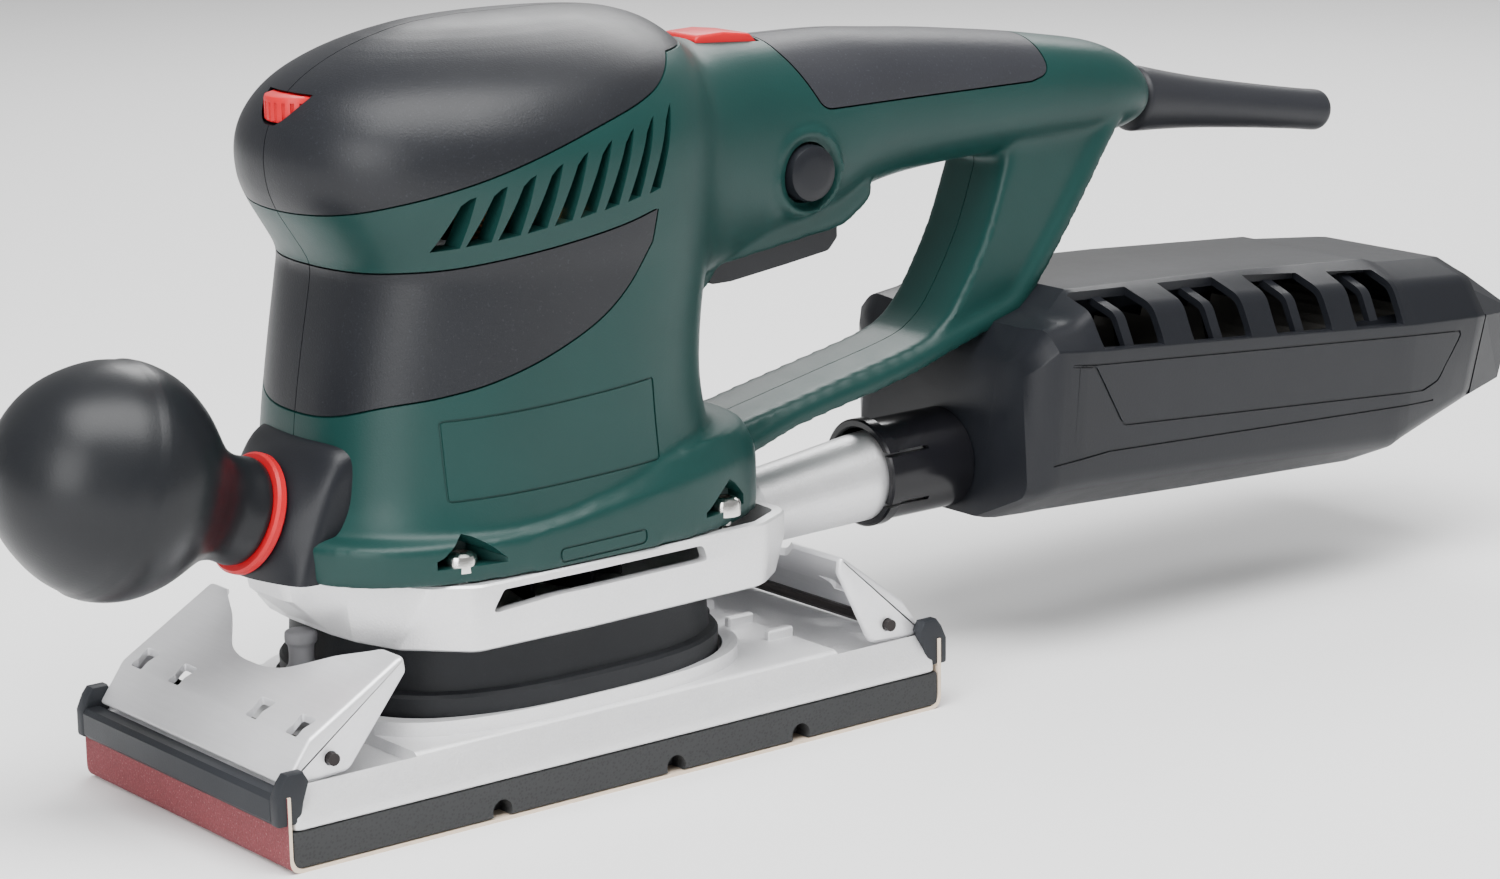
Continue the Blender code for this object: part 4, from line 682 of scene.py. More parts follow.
def bake(obj: bpy.types.Object) -> bpy.types.Object:
    """Turn an object's modifiers into its mesh."""
    graph = bpy.context.evaluated_depsgraph_get()
    mesh = bpy.data.meshes.new_from_object(obj.evaluated_get(graph))
    old = obj.data
    obj.modifiers.clear()
    obj.data = mesh
    bpy.data.meshes.remove(old)
    return obj


def copy_of(obj: bpy.types.Object, name: str) -> bpy.types.Object:
    """Return a copy of an object with a mesh of its own."""
    twin = bpy.data.objects.new(name, obj.data.copy())
    bpy.context.scene.collection.objects.link(twin)
    return twin


def discard(*objects: bpy.types.Object) -> None:
    """Remove objects that only shaped others."""
    for obj in objects:
        mesh = obj.data
        bpy.data.objects.remove(obj)
        bpy.data.meshes.remove(mesh)


def carve(obj: bpy.types.Object, cut: Cut, tools: Sequence[bpy.types.Object],
          keep_tools: bool = False, solver: Solver = Solver.CLOSED) -> bpy.types.Object:
    """Change a solid by other solids.

    Args:
        obj: the solid to change.
        cut: what the others do to it.
        tools: the other solids.
        keep_tools: whether they stay in the scene.
        solver: the Boolean solver.

    Returns:
        The same object, with a new mesh.
    """
    for tool in tools:
        modifier = obj.modifiers.new(tool.name, "BOOLEAN")
        modifier.operation = cut.value
        modifier.solver = solver.value
        modifier.object = tool
    bake(obj)
    if not keep_tools:
        discard(*tools)
    return obj


def fuse(obj: bpy.types.Object, voxel: float, smoothing: int = 0,
         weights: Callable[[Vector], float] | None = None) -> bpy.types.Object:
    """Melt an object's overlapping solids into one skin and smooth it.

    Args:
        obj: the object.
        voxel: the size of the new skin's faces.
        smoothing: how many times the skin is smoothed.
        weights: how strongly each point is smoothed, from 0 to 1.

    Returns:
        The same object, with a new mesh.
    """
    remesh = obj.modifiers.new("fuse", "REMESH")
    remesh.mode = "VOXEL"
    remesh.voxel_size = voxel
    bake(obj)
    if smoothing:
        smooth = obj.modifiers.new("smooth", "SMOOTH")
        smooth.factor = 0.5
        smooth.iterations = smoothing
        if weights is not None:
            group = obj.vertex_groups.new(name="blend")
            for vert in obj.data.vertices:
                weight = weights(vert.co)
                if weight > 0.01:
                    group.add([vert.index], min(weight, 1.0), "REPLACE")
            smooth.vertex_group = group.name
        bake(obj)
        obj.vertex_groups.clear()
    return obj


def shrunk(obj: bpy.types.Object, depth: float, name: str) -> bpy.types.Object:
    """Return a copy of a solid whose skin lies this far below."""
    twin = copy_of(obj, name)
    displace = twin.modifiers.new("sink", "DISPLACE")
    displace.strength = -depth
    displace.mid_level = 0.0
    return bake(twin)


def finished(obj: bpy.types.Object, finish: Finish, body: str, nodes: Sequence[str] = (),
             angle: float = SMOOTH_ANGLE) -> bpy.types.Object:
    """Dress a piece, put it on its body and hide the CAD nodes that it stands for.

    Args:
        obj: the piece.
        finish: its finish.
        body: the CAD body that it rides on.
        nodes: the CAD nodes that it replaces.
        angle: edges sharper than this stay sharp in the shading.

    Returns:
        The same object.
    """
    obj.data.materials.clear()
    obj.data.materials.append(finish.material())
    for polygon in obj.data.polygons:
        polygon.material_index = 0
    obj.data.shade_smooth()
    obj.data.set_sharp_from_angle(angle=angle)
    if nodes:
        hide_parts(*nodes)
    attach(obj, body)
    log.info("%s: %d faces", obj.name, len(obj.data.polygons))
    return obj


def dress_node(node: bpy.types.Object, finish: Finish) -> None:
    """Give a CAD node that stays visible its finish."""
    material = finish.material()
    if not node.material_slots:
        node.data.materials.append(material)
    for slot in node.material_slots:
        slot.material = material


# ---- moulded housing ---------------------------------------------------------------------
@dataclass
class Housing:
    """The green housing halves with the soft grips that lie in their recesses."""

    # height, front x, rear x, half width and squareness of each level, in mm
    levels: tuple[tuple[float, ...], ...] = (
        (56.5, -71.5, 55.0, 42.6, 2.9), (66.0, -67.0, 52.0, 42.2, 2.8),
        (72.0, -63.5, 47.5, 41.9, 2.7), (80.0, -62.2, 45.0, 41.6, 2.6),
        (92.0, -61.0, 43.6, 41.5, 2.5), (107.0, -58.5, 44.5, 41.5, 2.5),
        (122.0, -55.6, 47.0, 42.1, 2.5), (126.0, -55.2, 48.0, 42.6, 2.45),
        (128.5, -56.4, 48.6, 43.2, 2.4), (133.0, -59.3, 49.2, 43.9, 2.35),
        (139.0, -63.2, 50.0, 44.7, 2.3), (144.0, -65.4, 50.0, 45.1, 2.3),
        (150.0, -66.3, 50.0, 45.1, 2.28), (155.0, -65.9, 49.6, 44.3, 2.26),
        (160.0, -64.0, 48.8, 42.2, 2.24), (165.0, -60.4, 47.6, 38.8, 2.2),
        (169.0, -55.4, 45.2, 34.4, 2.18), (172.6, -48.6, 41.6, 28.9, 2.15),
        (175.6, -40.6, 36.6, 22.6, 2.1), (177.8, -32.0, 30.0, 16.4, 2.05),
        (179.0, -24.0, 22.0, 10.6, 2.0), (179.6, -13.0, 11.0, 4.6, 2.0))
    level_points: int = 112
    # x, lowest z, highest z, half width and squareness of each section, in mm
    bar: tuple[tuple[float, ...], ...] = (
        (4, 112, 168, 40.0, 2.2), (18, 110, 168, 38.5, 2.2), (32, 108, 168.2, 33.5, 2.25),
        (46, 108.5, 168.4, 27.0, 2.3), (60, 112.5, 167.8, 22.6, 2.35),
        (74, 116.0, 166.8, 20.6, 2.4), (89, 119.0, 166.6, 19.6, 2.4),
        (99, 124.0, 166.2, 18.8, 2.4), (112, 127.0, 165.0, 18.0, 2.4),
        (127, 128.4, 163.6, 17.6, 2.4), (142, 129.0, 161.8, 17.3, 2.4),
        (156, 129.2, 160.0, 17.0, 2.4), (170, 129.4, 157.8, 16.4, 2.4),
        (184, 129.8, 155.2, 15.6, 2.35), (192, 130.6, 152.2, 14.2, 2.3),
        (198, 132.0, 148.6, 11.8, 2.2), (201.5, 134.0, 145.0, 8.4, 2.1))
    bar_points: int = 64
    strut_outer: tuple[Pair, ...] = (
        (189, 139), (183, 130), (172, 114.5), (161.5, 100.5), (153, 90.5), (147.5, 87),
        (132, 82.5), (110, 76), (77, 69.5), (57, 63), (40, 60))
    strut_inner: tuple[Pair, ...] = (
        (34, 71), (51, 70.8), (65, 73.5), (91, 78.8), (116, 84), (124.5, 87.6), (131, 94),
        (141, 110.5), (148.5, 131), (152, 142))
    strut_half: float = 12.6 * MM
    rail_half: float = 14.2 * MM
    rail_depth: float = 4.2       # mm, thickness of the wider outer rail
    trigger_box: tuple[Pair, ...] = (
        (36, 106.5), (48, 108.0), (52, 113.2), (60, 114.2), (92, 118.0), (96, 120.4),
        (101, 124.0), (101, 140), (36, 140))
    trigger_box_half: float = 14.5 * MM
    voxel: float = 1.05 * MM
    grip_depth: float = 2.0
    wall: float = 5.2
    seam_x: Pair = (-90.0, 215.0)
    cap_edge: tuple[Pair, ...] = (
        (-80, 138.6), (-66, 139.2), (-62.4, 139.9), (-58.4, 141.0), (-51.2, 143.3),
        (-41.9, 145.9), (-31.1, 149.0), (-18.5, 152.9), (-3.8, 157.3), (9.7, 160.9),
        (18.5, 164.0), (27, 169.0), (34, 175.0), (38, 182))
    cap_top_end: float = 49.0     # mm, x where the cap ends on the middle line
    band_top: tuple[Pair, ...] = (
        (-80, 125.4), (-66, 125.4), (-54, 125.7), (-48, 126.3), (-39.8, 127.2), (-29.8, 128.7),
        (-18.1, 130.4), (-4.8, 132.4), (4.0, 134.0), (12.4, 136.0))
    band_low: tuple[Pair, ...] = (
        (11.0, 128.6), (5.0, 119.8), (-4.0, 112.3), (-18.0, 105.8), (-32.0, 101.2),
        (-43.0, 98.7), (-54.0, 96.2), (-64.0, 91.0), (-80, 86.0))
    bar_grip: tuple[tuple[float, float, float], ...] = (
        (70.0, 172.0, 1.0), (73.0, 163.5, 6.0), (81.5, 149.4, 5.0), (152.0, 149.0, 3.0),
        (158.5, 150.4, 5.0), (156.0, 172.0, 1.0), (155.0, 180.0, 1.0), (70.0, 180.0, 1.0))
    vent_count: int = 9
    vent_feet: tuple[Pair, Pair] = ((-41.4, 132.2), (11.4, 140.5))
    vent_tips: tuple[Pair, Pair] = ((-36.3, 144.4), (19.9, 159.4))
    vent_widths: Pair = (5.6, 3.6)
    screw_xs: Pair = (-42.0, 34.0)
    screw_seat: float = 60.3
    label: tuple[tuple[float, float, float], ...] = (
        (-44.0, 93.0, 1.0), (12.0, 96.0, 1.0), (13.2, 76.4, 1.0), (-43.6, 74.6, 1.0))
    pill: tuple[tuple[float, float, float], ...] = (
        (-18.5, 60.9, 1.4), (6.0, 61.4, 1.4), (6.0, 58.2, 1.4), (-18.5, 57.7, 1.4))
    lock_x: float = 75.0
    lock_z: float = 134.5

    def crease(self, x: float) -> Pair:
        """Return the heights of the flange's crease and of the slope's top at x, in mm."""
        t = min(max((x + 32.0) / 64.0, 0.0), 1.0)
        t = t * t * (3 - 2 * t)
        return 65.6 + 5.4 * t, 66.8 + 11.0 * t

    def level(self, z: float, inset: float = 0.0) -> list[Vector]:
        """Return the motor housing's outline at a height, drawn in by an inset, in metres."""
        front, rear, half, power = table_at(self.levels, z)
        middle, reach = (front + rear) / 2, (rear - front) / 2 - inset
        return [Vector((middle + a, b, z)) * MM
                for a, b in superellipse(reach, max(half - inset, 0.4), power,
                                         self.level_points)]

    def head(self) -> bmesh.types.BMesh:
        """Build the motor housing's outer form."""
        low, high = self.levels[0][0], self.levels[-1][0]
        heights = [low + (178.0 - low) * i / 70 for i in range(71)] + [178.8, 179.3, high]
        return loft([self.level(z) for z in heights])

    def bar_section(self, x: float, inset: float = 0.0) -> list[Vector]:
        """Return the grip bar's section at x, in metres."""
        low, high, half, power = table_at(self.bar, x)
        middle, reach = (low + high) / 2, (high - low) / 2 - inset
        return [Vector((x, a, middle + b)) * MM
                for a, b in superellipse(half - inset, reach, power, self.bar_points)]

    def grip_bar(self) -> bmesh.types.BMesh:
        """Build the grip bar's outer form."""
        first, last = self.bar[0][0], self.bar[-1][0]
        return loft([self.bar_section(first + (last - first) * i / 60) for i in range(61)])

    def strut(self) -> bmesh.types.BMesh:
        """Build the strut of the D-handle: a bar with softened inner edges."""
        outline = [point * MM for point in through(self.strut_outer, 5)
                   + through(self.strut_inner, 5)]
        bm = slab(outline, -self.strut_half, self.strut_half)
        return soften(bm, 1.6 * MM, 2, 60.0,
                      lambda edge: abs(edge.verts[0].co.y - edge.verts[1].co.y) < 1e-6)

    def rail(self) -> bmesh.types.BMesh:
        """Build the wider rail along the strut's outer edge."""
        outer = through(self.strut_outer, 5)
        inner = []
        for i, point in enumerate(outer):
            along = (outer[min(i + 1, len(outer) - 1)] - outer[max(i - 1, 0)]).normalized()
            inner.append(point + Vector((along.y, -along.x)) * self.rail_depth)
        outline = [point * MM for point in outer + list(reversed(inner))]
        return slab(outline, -self.rail_half, self.rail_half)

    def trigger_housing(self) -> bmesh.types.BMesh:
        """Build the bulge under the grip bar that the trigger slides in."""
        outline = rounded([(x, z, 3.0) for x, z in self.trigger_box])
        bm = slab([point * MM for point in outline], -self.trigger_box_half,
                  self.trigger_box_half)
        return soften(bm, 3.0 * MM, 3, 60.0)

    def flange(self) -> bmesh.types.BMesh:
        """Build the flange with its creased shoulder."""
        def ring(height: Callable[[float], float], inset: float) -> list[Vector]:
            """Return a ring of the flange whose height depends on x."""
            return [Vector((-7.0 + a, b, height(-7.0 + a))) * MM
                    for a, b in superellipse(65.0 - inset, 44.6 - inset, 2.9,
                                             self.level_points)]

        return loft([ring(lambda x: 56.5, 0.1), ring(lambda x: self.crease(x)[0], 0.0),
                     ring(lambda x: self.crease(x)[1], 3.0),
                     ring(lambda x: self.crease(x)[1] + 1.0, 14.0)])

    def pockets(self) -> list[bpy.types.Object]:
        """Return the gabled pockets that the flange screws sit in."""
        made = []
        for x in self.screw_xs:
            seat = self.screw_seat
            deep = ((-4.3, seat), (4.3, seat), (4.3, seat + 3.4), (0.0, seat + 5.6),
                    (-4.3, seat + 3.4))
            wide = ((-10.4, seat), (10.4, seat), (10.4, seat + 0.5), (0.0, seat + 9.4),
                    (-10.4, seat + 0.5))
            for side in Side:
                rings = [[Vector((x + a, side.value * y, z)) * MM for a, z in outline]
                         for y, outline in ((33.8, deep), (45.5, wide), (52.0, wide))]
                made.append(solid("pocket", loft(rings)))
        return made

    def form(self) -> bpy.types.Object:
        """Build the outer form of the whole housing as one smooth skin."""
        body = joined("form", self.head(), self.grip_bar())

        def blend(point: Vector) -> float:
            """Return how strongly a point near the grip bar's root is smoothed."""
            x, y, z = point / MM
            across = math.exp(-((x - 44) / 19) ** 2)
            return across * min(max((z - 98) / 12, 0), 1) * (1 if abs(y) > 6 or z < 140 else 0.4)

        fuse(body, 1.3 * MM, 70, blend)
        ring = turned([(along * MM, out * MM) for along, out in
                       ((-20.9, 9.0), (-21.9, 9.4), (-22.2, 10.0), (-21.9, 10.6), (-18.0, 11.4),
                        (-14.0, 11.4), (-14.0, 9.0))],
                      (self.lock_x * MM, 0, self.lock_z * MM), (0, 1, 0), 48, True)
        extra = joined("extra", self.strut(), self.rail(), self.trigger_housing(),
                       self.flange(), ring)
        fuse(extra, self.voxel)
        both = carve(body, Cut.ADD, [extra])

        def root(point: Vector) -> float:
            """Return how strongly the strut's two roots are smoothed."""
            x, y, z = point / MM
            low = math.exp(-((x - 47) / 9) ** 2 - ((z - 72) / 9) ** 2)
            high = math.exp(-((x - 158) / 20) ** 2 - ((z - 130) / 8) ** 2)
            box = math.exp(-((x - 75) / 34) ** 2 - ((z - 121) / 6) ** 2) * (abs(y) > 11)
            return max(low, high, box)

        fuse(both, self.voxel, 26, root)
        return fuse_edges(both, 2)

    def cavities(self) -> list[bpy.types.Object]:
        """Return the spaces that hold the motor, the fan and the switch."""
        made = []
        seats = [block(((x - 12) * MM, low * MM, 50 * MM), ((x + 12) * MM, high * MM, 81 * MM))
                 for x in self.screw_xs for low, high in ((-60, -30.5), (30.5, 60))]
        for low, high in ((55.0, 79.0), (84.0, 146.5), (155.0, 171.0)):
            heights = [low + (high - low) * i / 12 for i in range(13)]
            made.append(solid("chamber", loft([self.level(max(z, 56.5), self.wall)
                                               if z > 56.5 else
                                               [Vector((p.x, p.y, z * MM)) for p in
                                                self.level(56.5, self.wall)]
                                               for z in heights])))
        carve(made[0], Cut.TAKE, [solid("screw_seats", seat) for seat in seats])
        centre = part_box("rotor_shaft")
        axis = ((centre[0] + centre[1]) / 2)
        for radius, low, high in ((30.0, 78.0, 85.0), (11.6, 146.0, 156.0)):
            made.append(solid("bore", turned([(low * MM, radius * MM), (high * MM, radius * MM)],
                                             (axis.x, axis.y, 0), (0, 0, 1), 48)))
        xs = [38.0 + (172.0 - 38.0) * i / 16 for i in range(17)]
        made.append(solid("bar_space", loft([self.bar_section(x, self.wall) for x in xs])))
        return made

    def cap_region(self, grow: float) -> bpy.types.Object:
        """Return the block of space over the cap's edge."""
        edge = [Vector((p.x, p.y - grow)) for p in through(self.cap_edge, 6)]
        outline = [point * MM for point in edge] + [Vector((38 + grow, 200)) * MM,
                                                    Vector((-80, 200)) * MM]
        side_block = slab(outline, -60 * MM, 60 * MM)
        region = solid("cap_region", side_block)
        top = []
        for i in range(25):
            angle = math.pi * (i / 24 - 0.5)
            top.append((math.cos(angle) * (self.cap_top_end - 10 + grow) + 10,
                        math.sin(angle) * (31 + grow)))
        plan = [Vector(p) * MM for p in [*top, (-90, 60), (-90, -60)]]
        return carve(region, Cut.ADD, [solid("cap_plan", slab(
            plan, (169.6 - grow) * MM, 200 * MM, "Z"))], solver=Solver.EXACT)

    def band_region(self, grow: float) -> bpy.types.Object:
        """Return the block of space that the lower grip band fills."""
        outline = through(self.band_top, 6) + through(self.band_low, 6)
        grown = offset_outline(outline, grow)
        return solid("band_region", slab([point * MM for point in grown], -60 * MM, 60 * MM))

    def bar_region(self, grow: float) -> bpy.types.Object:
        """Return the block of space that the grip bar's soft grip fills."""
        grown = offset_outline(rounded(self.bar_grip, 8), grow)
        return solid("bar_region", slab([point * MM for point in grown], -40 * MM, 40 * MM))

    def vents(self) -> list[bpy.types.Object]:
        """Return the slanted, pointed air slots of both sides."""
        made = []
        for i in range(self.vent_count):
            t = i / (self.vent_count - 1)
            foot = Vector(self.vent_feet[0]).lerp(Vector(self.vent_feet[1]), t)
            tip = Vector(self.vent_tips[0]).lerp(Vector(self.vent_tips[1]), t)
            width = self.vent_widths[0] + (self.vent_widths[1] - self.vent_widths[0]) * t
            left = foot + Vector((-width / 2, -0.5))
            right = foot + Vector((width / 2, 0.3))
            bend = tip.lerp(left, 0.2) + Vector((-0.30, 0.12)) * width
            high = tip.lerp(left, 0.07) + Vector((-0.16, 0.07)) * width
            outline = [left, right, right.lerp(tip, 0.5) + Vector((0.08, 0)), tip, high, bend]
            for side in Side:
                ys = sorted((side.value * 24 * MM, side.value * 60 * MM))
                made.append(solid("vent", slab([point * MM for point in outline], *ys)))
        return made

    def grooves(self, core: bpy.types.Object) -> list[bpy.types.Object]:
        """Return the fine outlines sunk in the housing's sides."""
        made = []
        for corners, steps in ((self.label, 3), (self.pill, 6)):
            outline = rounded(corners, steps)
            outer = [point * MM for point in offset_outline(outline, 0.28)]
            inner = [point * MM for point in offset_outline(outline, -0.28)]
            frame_ring = solid("groove", slab(outer, -60 * MM, -30 * MM))
            carve(frame_ring, Cut.TAKE, [solid("groove_middle", slab(inner, -61 * MM,
                                                                     -29 * MM))])
            carve(frame_ring, Cut.TAKE, [core], keep_tools=True)
            made.append(frame_ring)
        return made

    def openings(self) -> list[bpy.types.Object]:
        """Return the cutters for the trigger, the buttons, the sleeve and the knob's stud."""
        made = []
        for node, grow, reach in (("trigger", 0.5, (10.0, 8.0)),
                                  ("boost_button", 0.45, (3.0, 9.0))):
            low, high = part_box(node)
            made.append(solid(node + "_opening", block(
                (low.x - grow * MM, low.y - grow * MM, low.z - reach[0] * MM),
                (high.x + grow * MM, high.y + grow * MM, high.z + reach[1] * MM))))
        lock = (self.lock_x * MM, 0, self.lock_z * MM)
        made.append(solid("lock_opening", turned([(-40 * MM, 7.7 * MM), (-16 * MM, 7.7 * MM),
                                                  (-16 * MM, 8.7 * MM), (-9 * MM, 8.7 * MM)],
                                                 lock, (0, 1, 0), 48)))
        made.append(solid("sleeve_opening", CordSleeve().hole()))
        knob = Knob()
        made.append(solid("stud_opening", turned([(-12 * MM, 4.4 * MM), (10 * MM, 4.4 * MM)],
                                                 knob.origin, knob.axis(), 24)))
        return made

    def halves(self, stem: str, whole: bpy.types.Object, finish: Finish) -> None:
        """Split a solid at the middle plane into a left and a right piece."""
        for side in Side:
            low, high = sorted((side.value * SEAM / 2, side.value * 70 * MM))
            name = f"{stem}_{side.name.lower()}"
            half = copy_of(whole, name + "_look")
            cutter = solid("half", block((self.seam_x[0] * MM, low, 50 * MM),
                                         (self.seam_x[1] * MM, high, 190 * MM)))
            carve(half, Cut.KEEP, [cutter])
            finished(half, finish, "housing", [name])
        discard(whole)

    def build(self) -> None:
        """Make the shells and the soft grips."""
        form = self.form()
        thin, grip_floor = shrunk(form, 0.32 * MM, "thin"), shrunk(
            form, (self.grip_depth + 0.3) * MM, "grip_floor")
        grip_core = shrunk(form, self.grip_depth * MM, "grip_core")
        # The handle grip takes the paler copy of the grip moulding, whose base colour holds painted
        # sheen
        regions = (("cap_grip", self.cap_region, GRIP), ("band_grip", self.band_region, GRIP),
                   ("handle_grip", self.bar_region, HANDLE_GRIP_PAINTED_SHEEN))
        for stem, region, finish in regions:
            grip = carve(copy_of(form, stem), Cut.KEEP, [region(0.0)])
            carve(grip, Cut.TAKE, [grip_core], keep_tools=True)
            if stem == "cap_grip":
                carve(grip, Cut.TAKE, [Dial().window()])
            self.halves(stem, grip, finish)
        shell = form
        carve(shell, Cut.TAKE, self.grooves(thin))
        for _, region, _ in regions:
            recess = region(0.45)
            carve(recess, Cut.TAKE, [grip_floor], keep_tools=True)
            carve(shell, Cut.TAKE, [recess])
        carve(shell, Cut.TAKE, self.pockets())
        carve(shell, Cut.TAKE, self.cavities())
        carve(shell, Cut.TAKE, self.vents() + self.openings() + [Dial().window()])
        foot = solid("foot", block((-0.1, -0.1, 0), (0.1, 0.1, 56.5 * MM)))
        carve(shell, Cut.TAKE, [foot])
        discard(thin, grip_floor, grip_core)
        self.halves("shell", shell, GREEN)


def fuse_edges(obj: bpy.types.Object, times: int) -> bpy.types.Object:
    """Smooth a whole skin a number of times, which rounds its edges."""
    smooth = obj.modifiers.new("soft_edges", "SMOOTH")
    smooth.factor = 0.5
    smooth.iterations = times
    return bake(obj)


# ---- knob --------------------------------------------------------------------------------
@dataclass
class Knob:
    """The ball knob in front with its spacer ring and the bracket on the nose."""

    origin: tuple[float, float, float] = (-0.0748, 0.0, 0.0705)
    bore: float = 4.3           # radius of the threaded socket, in mm
    bore_depth: float = 14.3    # in mm
    direction: tuple[float, float, float] = (-0.9317, 0.0, 0.3633)
    # distance along the axis and radius, in mm
    profile: tuple[Pair, ...] = (
        (1.7, 12.4), (3.2, 12.7), (7.0, 12.4), (10.0, 12.9), (13.0, 14.2), (16.0, 16.4),
        (19.0, 19.0), (22.0, 21.6), (25.0, 23.7), (29.0, 25.8), (33.0, 27.0), (37.0, 27.5),
        (40.5, 27.3))
    nose: tuple[Pair, ...] = (
        (41.4, 26.8), (46.0, 25.6), (51.0, 23.2), (56.0, 19.8), (60.0, 15.6), (63.0, 10.6),
        (65.0, 5.4), (65.6, 2.6))
    ring: tuple[Pair, ...] = ((-1.3, 13.7), (-0.7, 14.3), (0.7, 14.3), (1.3, 13.7), (1.3, 4.4),
                              (-1.3, 4.4))
    # distance along the axis, half height, half width and squareness, in mm
    saddle: tuple[tuple[float, ...], ...] = (
        (-1.6, 13.2, 13.2, 2.0), (-2.2, 14.6, 14.4, 2.1), (-4.4, 17.8, 17.2, 2.8),
        (-6.9, 20.4, 19.7, 5.0), (-10.0, 21.8, 20.3, 8.0), (-14.0, 22.6, 20.4, 10.0),
        (-36.0, 26.0, 20.5, 12.0))

    def axis(self) -> Vector:
        """Return the knob's axis, pointing forwards and up."""
        return Vector(self.direction).normalized()

    def bracket(self, form: bpy.types.Object) -> bpy.types.Object:
        """Build the bracket that joins the ring to the nose."""
        axis, side = self.axis(), Vector((0, 1, 0))
        up = side.cross(axis)
        start = Vector(self.origin)
        rings = []
        for i in range(37):
            along = -1.6 - (36.0 - 1.6) * (i / 36) ** 1.9
            high, wide, power = table_at([(-row[0], *row[1:]) for row in self.saddle], -along)
            rings.append([start + axis * along * MM + (side * a + up * b) * MM
                          for a, b in superellipse(wide, high, power, 72)])
        piece = solid("knob_saddle", loft(rings))
        low = solid("under", block((-0.13, -0.05, 0.0), (-0.02, 0.05, 56.6 * MM)))
        carve(piece, Cut.TAKE, [low])
        carve(piece, Cut.TAKE, [form], keep_tools=True)
        bore = turned([(-40 * MM, 4.4 * MM), (4 * MM, 4.4 * MM)], start, axis, 24)
        return carve(piece, Cut.TAKE, [solid("bore", bore)])

    def build(self, form: bpy.types.Object) -> None:
        """Make the bracket, the ring and the ball."""
        finished(self.bracket(form), BLACK, "housing", ["knob_bracket"])
        ring = turned([(a * MM, r * MM) for a, r in self.ring], self.origin, self.axis(), 80, True)
        finished(solid("spacer_ring", ring), RED, "housing", ["knob_ring"])
        outer = through(self.profile, 4)[:-1] + through(self.nose, 5)
        path = [(1.7, self.bore)] + [tuple(point) for point in outer]
        ball = solid("ball_knob", turned([(a * MM, r * MM) for a, r in path],
                                         self.origin, self.axis(), 96))
        bore = turned([(0.0, self.bore * MM), (self.bore_depth * MM, self.bore * MM)],
                      self.origin, self.axis(), 32)
        carve(ball, Cut.TAKE, [solid("socket", bore)])
        finished(ball, KNOB_BLACK, "front_knob", ["front_knob"])


# ---- controls ----------------------------------------------------------------------------
@dataclass
class Dial:
    """The red speed dial that looks through a window in the cap."""

    ribs: int = 26
    play: float = 0.55 * MM

    def window(self) -> bpy.types.Object:
        """Return the cutter of the dial's room, which breaks out through the nose."""
        low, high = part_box("speed_dial")
        middle, radius = (low + high) / 2, (high.x - low.x) / 2 + self.play
        return solid("dial_window", turned([(low.z - self.play, radius),
                                            (high.z + self.play, radius)],
                                           (middle.x, middle.y, 0), (0, 0, 1), 64))

    def build(self) -> None:
        """Make the dial."""
        low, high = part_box("speed_dial")
        middle = (low + high) / 2
        reach = (high.x - low.x) / 2
        profile = [(low.z, reach - 0.5 * MM), (low.z + 0.5 * MM, reach),
                   (high.z - 0.9 * MM, reach), (high.z - 0.25 * MM, reach - 0.25 * MM),
                   (high.z, reach - 0.9 * MM)]
        dial = solid("dial_look", turned(profile, (middle.x, middle.y, 0), (0, 0, 1), 104))
        cuts = []
        for i in range(self.ribs):
            angle = math.tau * i / self.ribs
            spot = Vector((middle.x + math.cos(angle) * reach,
                           middle.y + math.sin(angle) * reach, 0))
            cuts.append(turned([(low.z - 1 * MM, 0.5 * MM), (high.z - 1.4 * MM, 0.5 * MM)],
                               spot, (0, 0, 1), 8))
        ribs = joined("rib_cuts", *cuts)
        carve(dial, Cut.TAKE, [ribs])
        finished(dial, RED, "speed_dial", ["speed_dial"])


@dataclass
class CordSleeve:
    """The moulded sleeve that guides the cord out of the handle's end."""

    start: tuple[float, float, float] = (0.186, 0.0, 0.140)
    end: tuple[float, float, float] = (0.2756, 0.0, 0.1266)
    profile: tuple[Pair, ...] = ((0.0, 6.9), (11.5, 6.9), (12.4, 5.4), (15.2, 5.4))
    taper: tuple[Pair, ...] = ((15.8, 7.6), (16.6, 8.6), (18.5, 8.8), (28.0, 7.9), (42.0, 6.9),
                               (62.0, 6.1), (80.0, 5.7), (87.0, 5.7), (88.8, 5.5), (89.8, 4.9))

    def hole(self) -> bmesh.types.BMesh:
        """Return the bore in the handle that holds the sleeve."""
        axis = Vector(self.end) - Vector(self.start)
        return turned([(-0.5 * MM, 7.2 * MM), (11.9 * MM, 7.2 * MM), (12.3 * MM, 5.8 * MM),
                       (30 * MM, 5.8 * MM)], self.start, axis, 48)

    def build(self) -> None:
        """Make the sleeve."""
        axis = Vector(self.end) - Vector(self.start)
        path = list(self.profile) + [tuple(point) for point in through(self.taper, 4)]
        path += [(89.8, 4.0), (76.0, 4.0)]
        sleeve = turned([(a * MM, r * MM) for a, r in path], self.start, axis, 64)
        finished(solid("sleeve_look", sleeve), SLEEVE, "housing", ["cord_sleeve"])


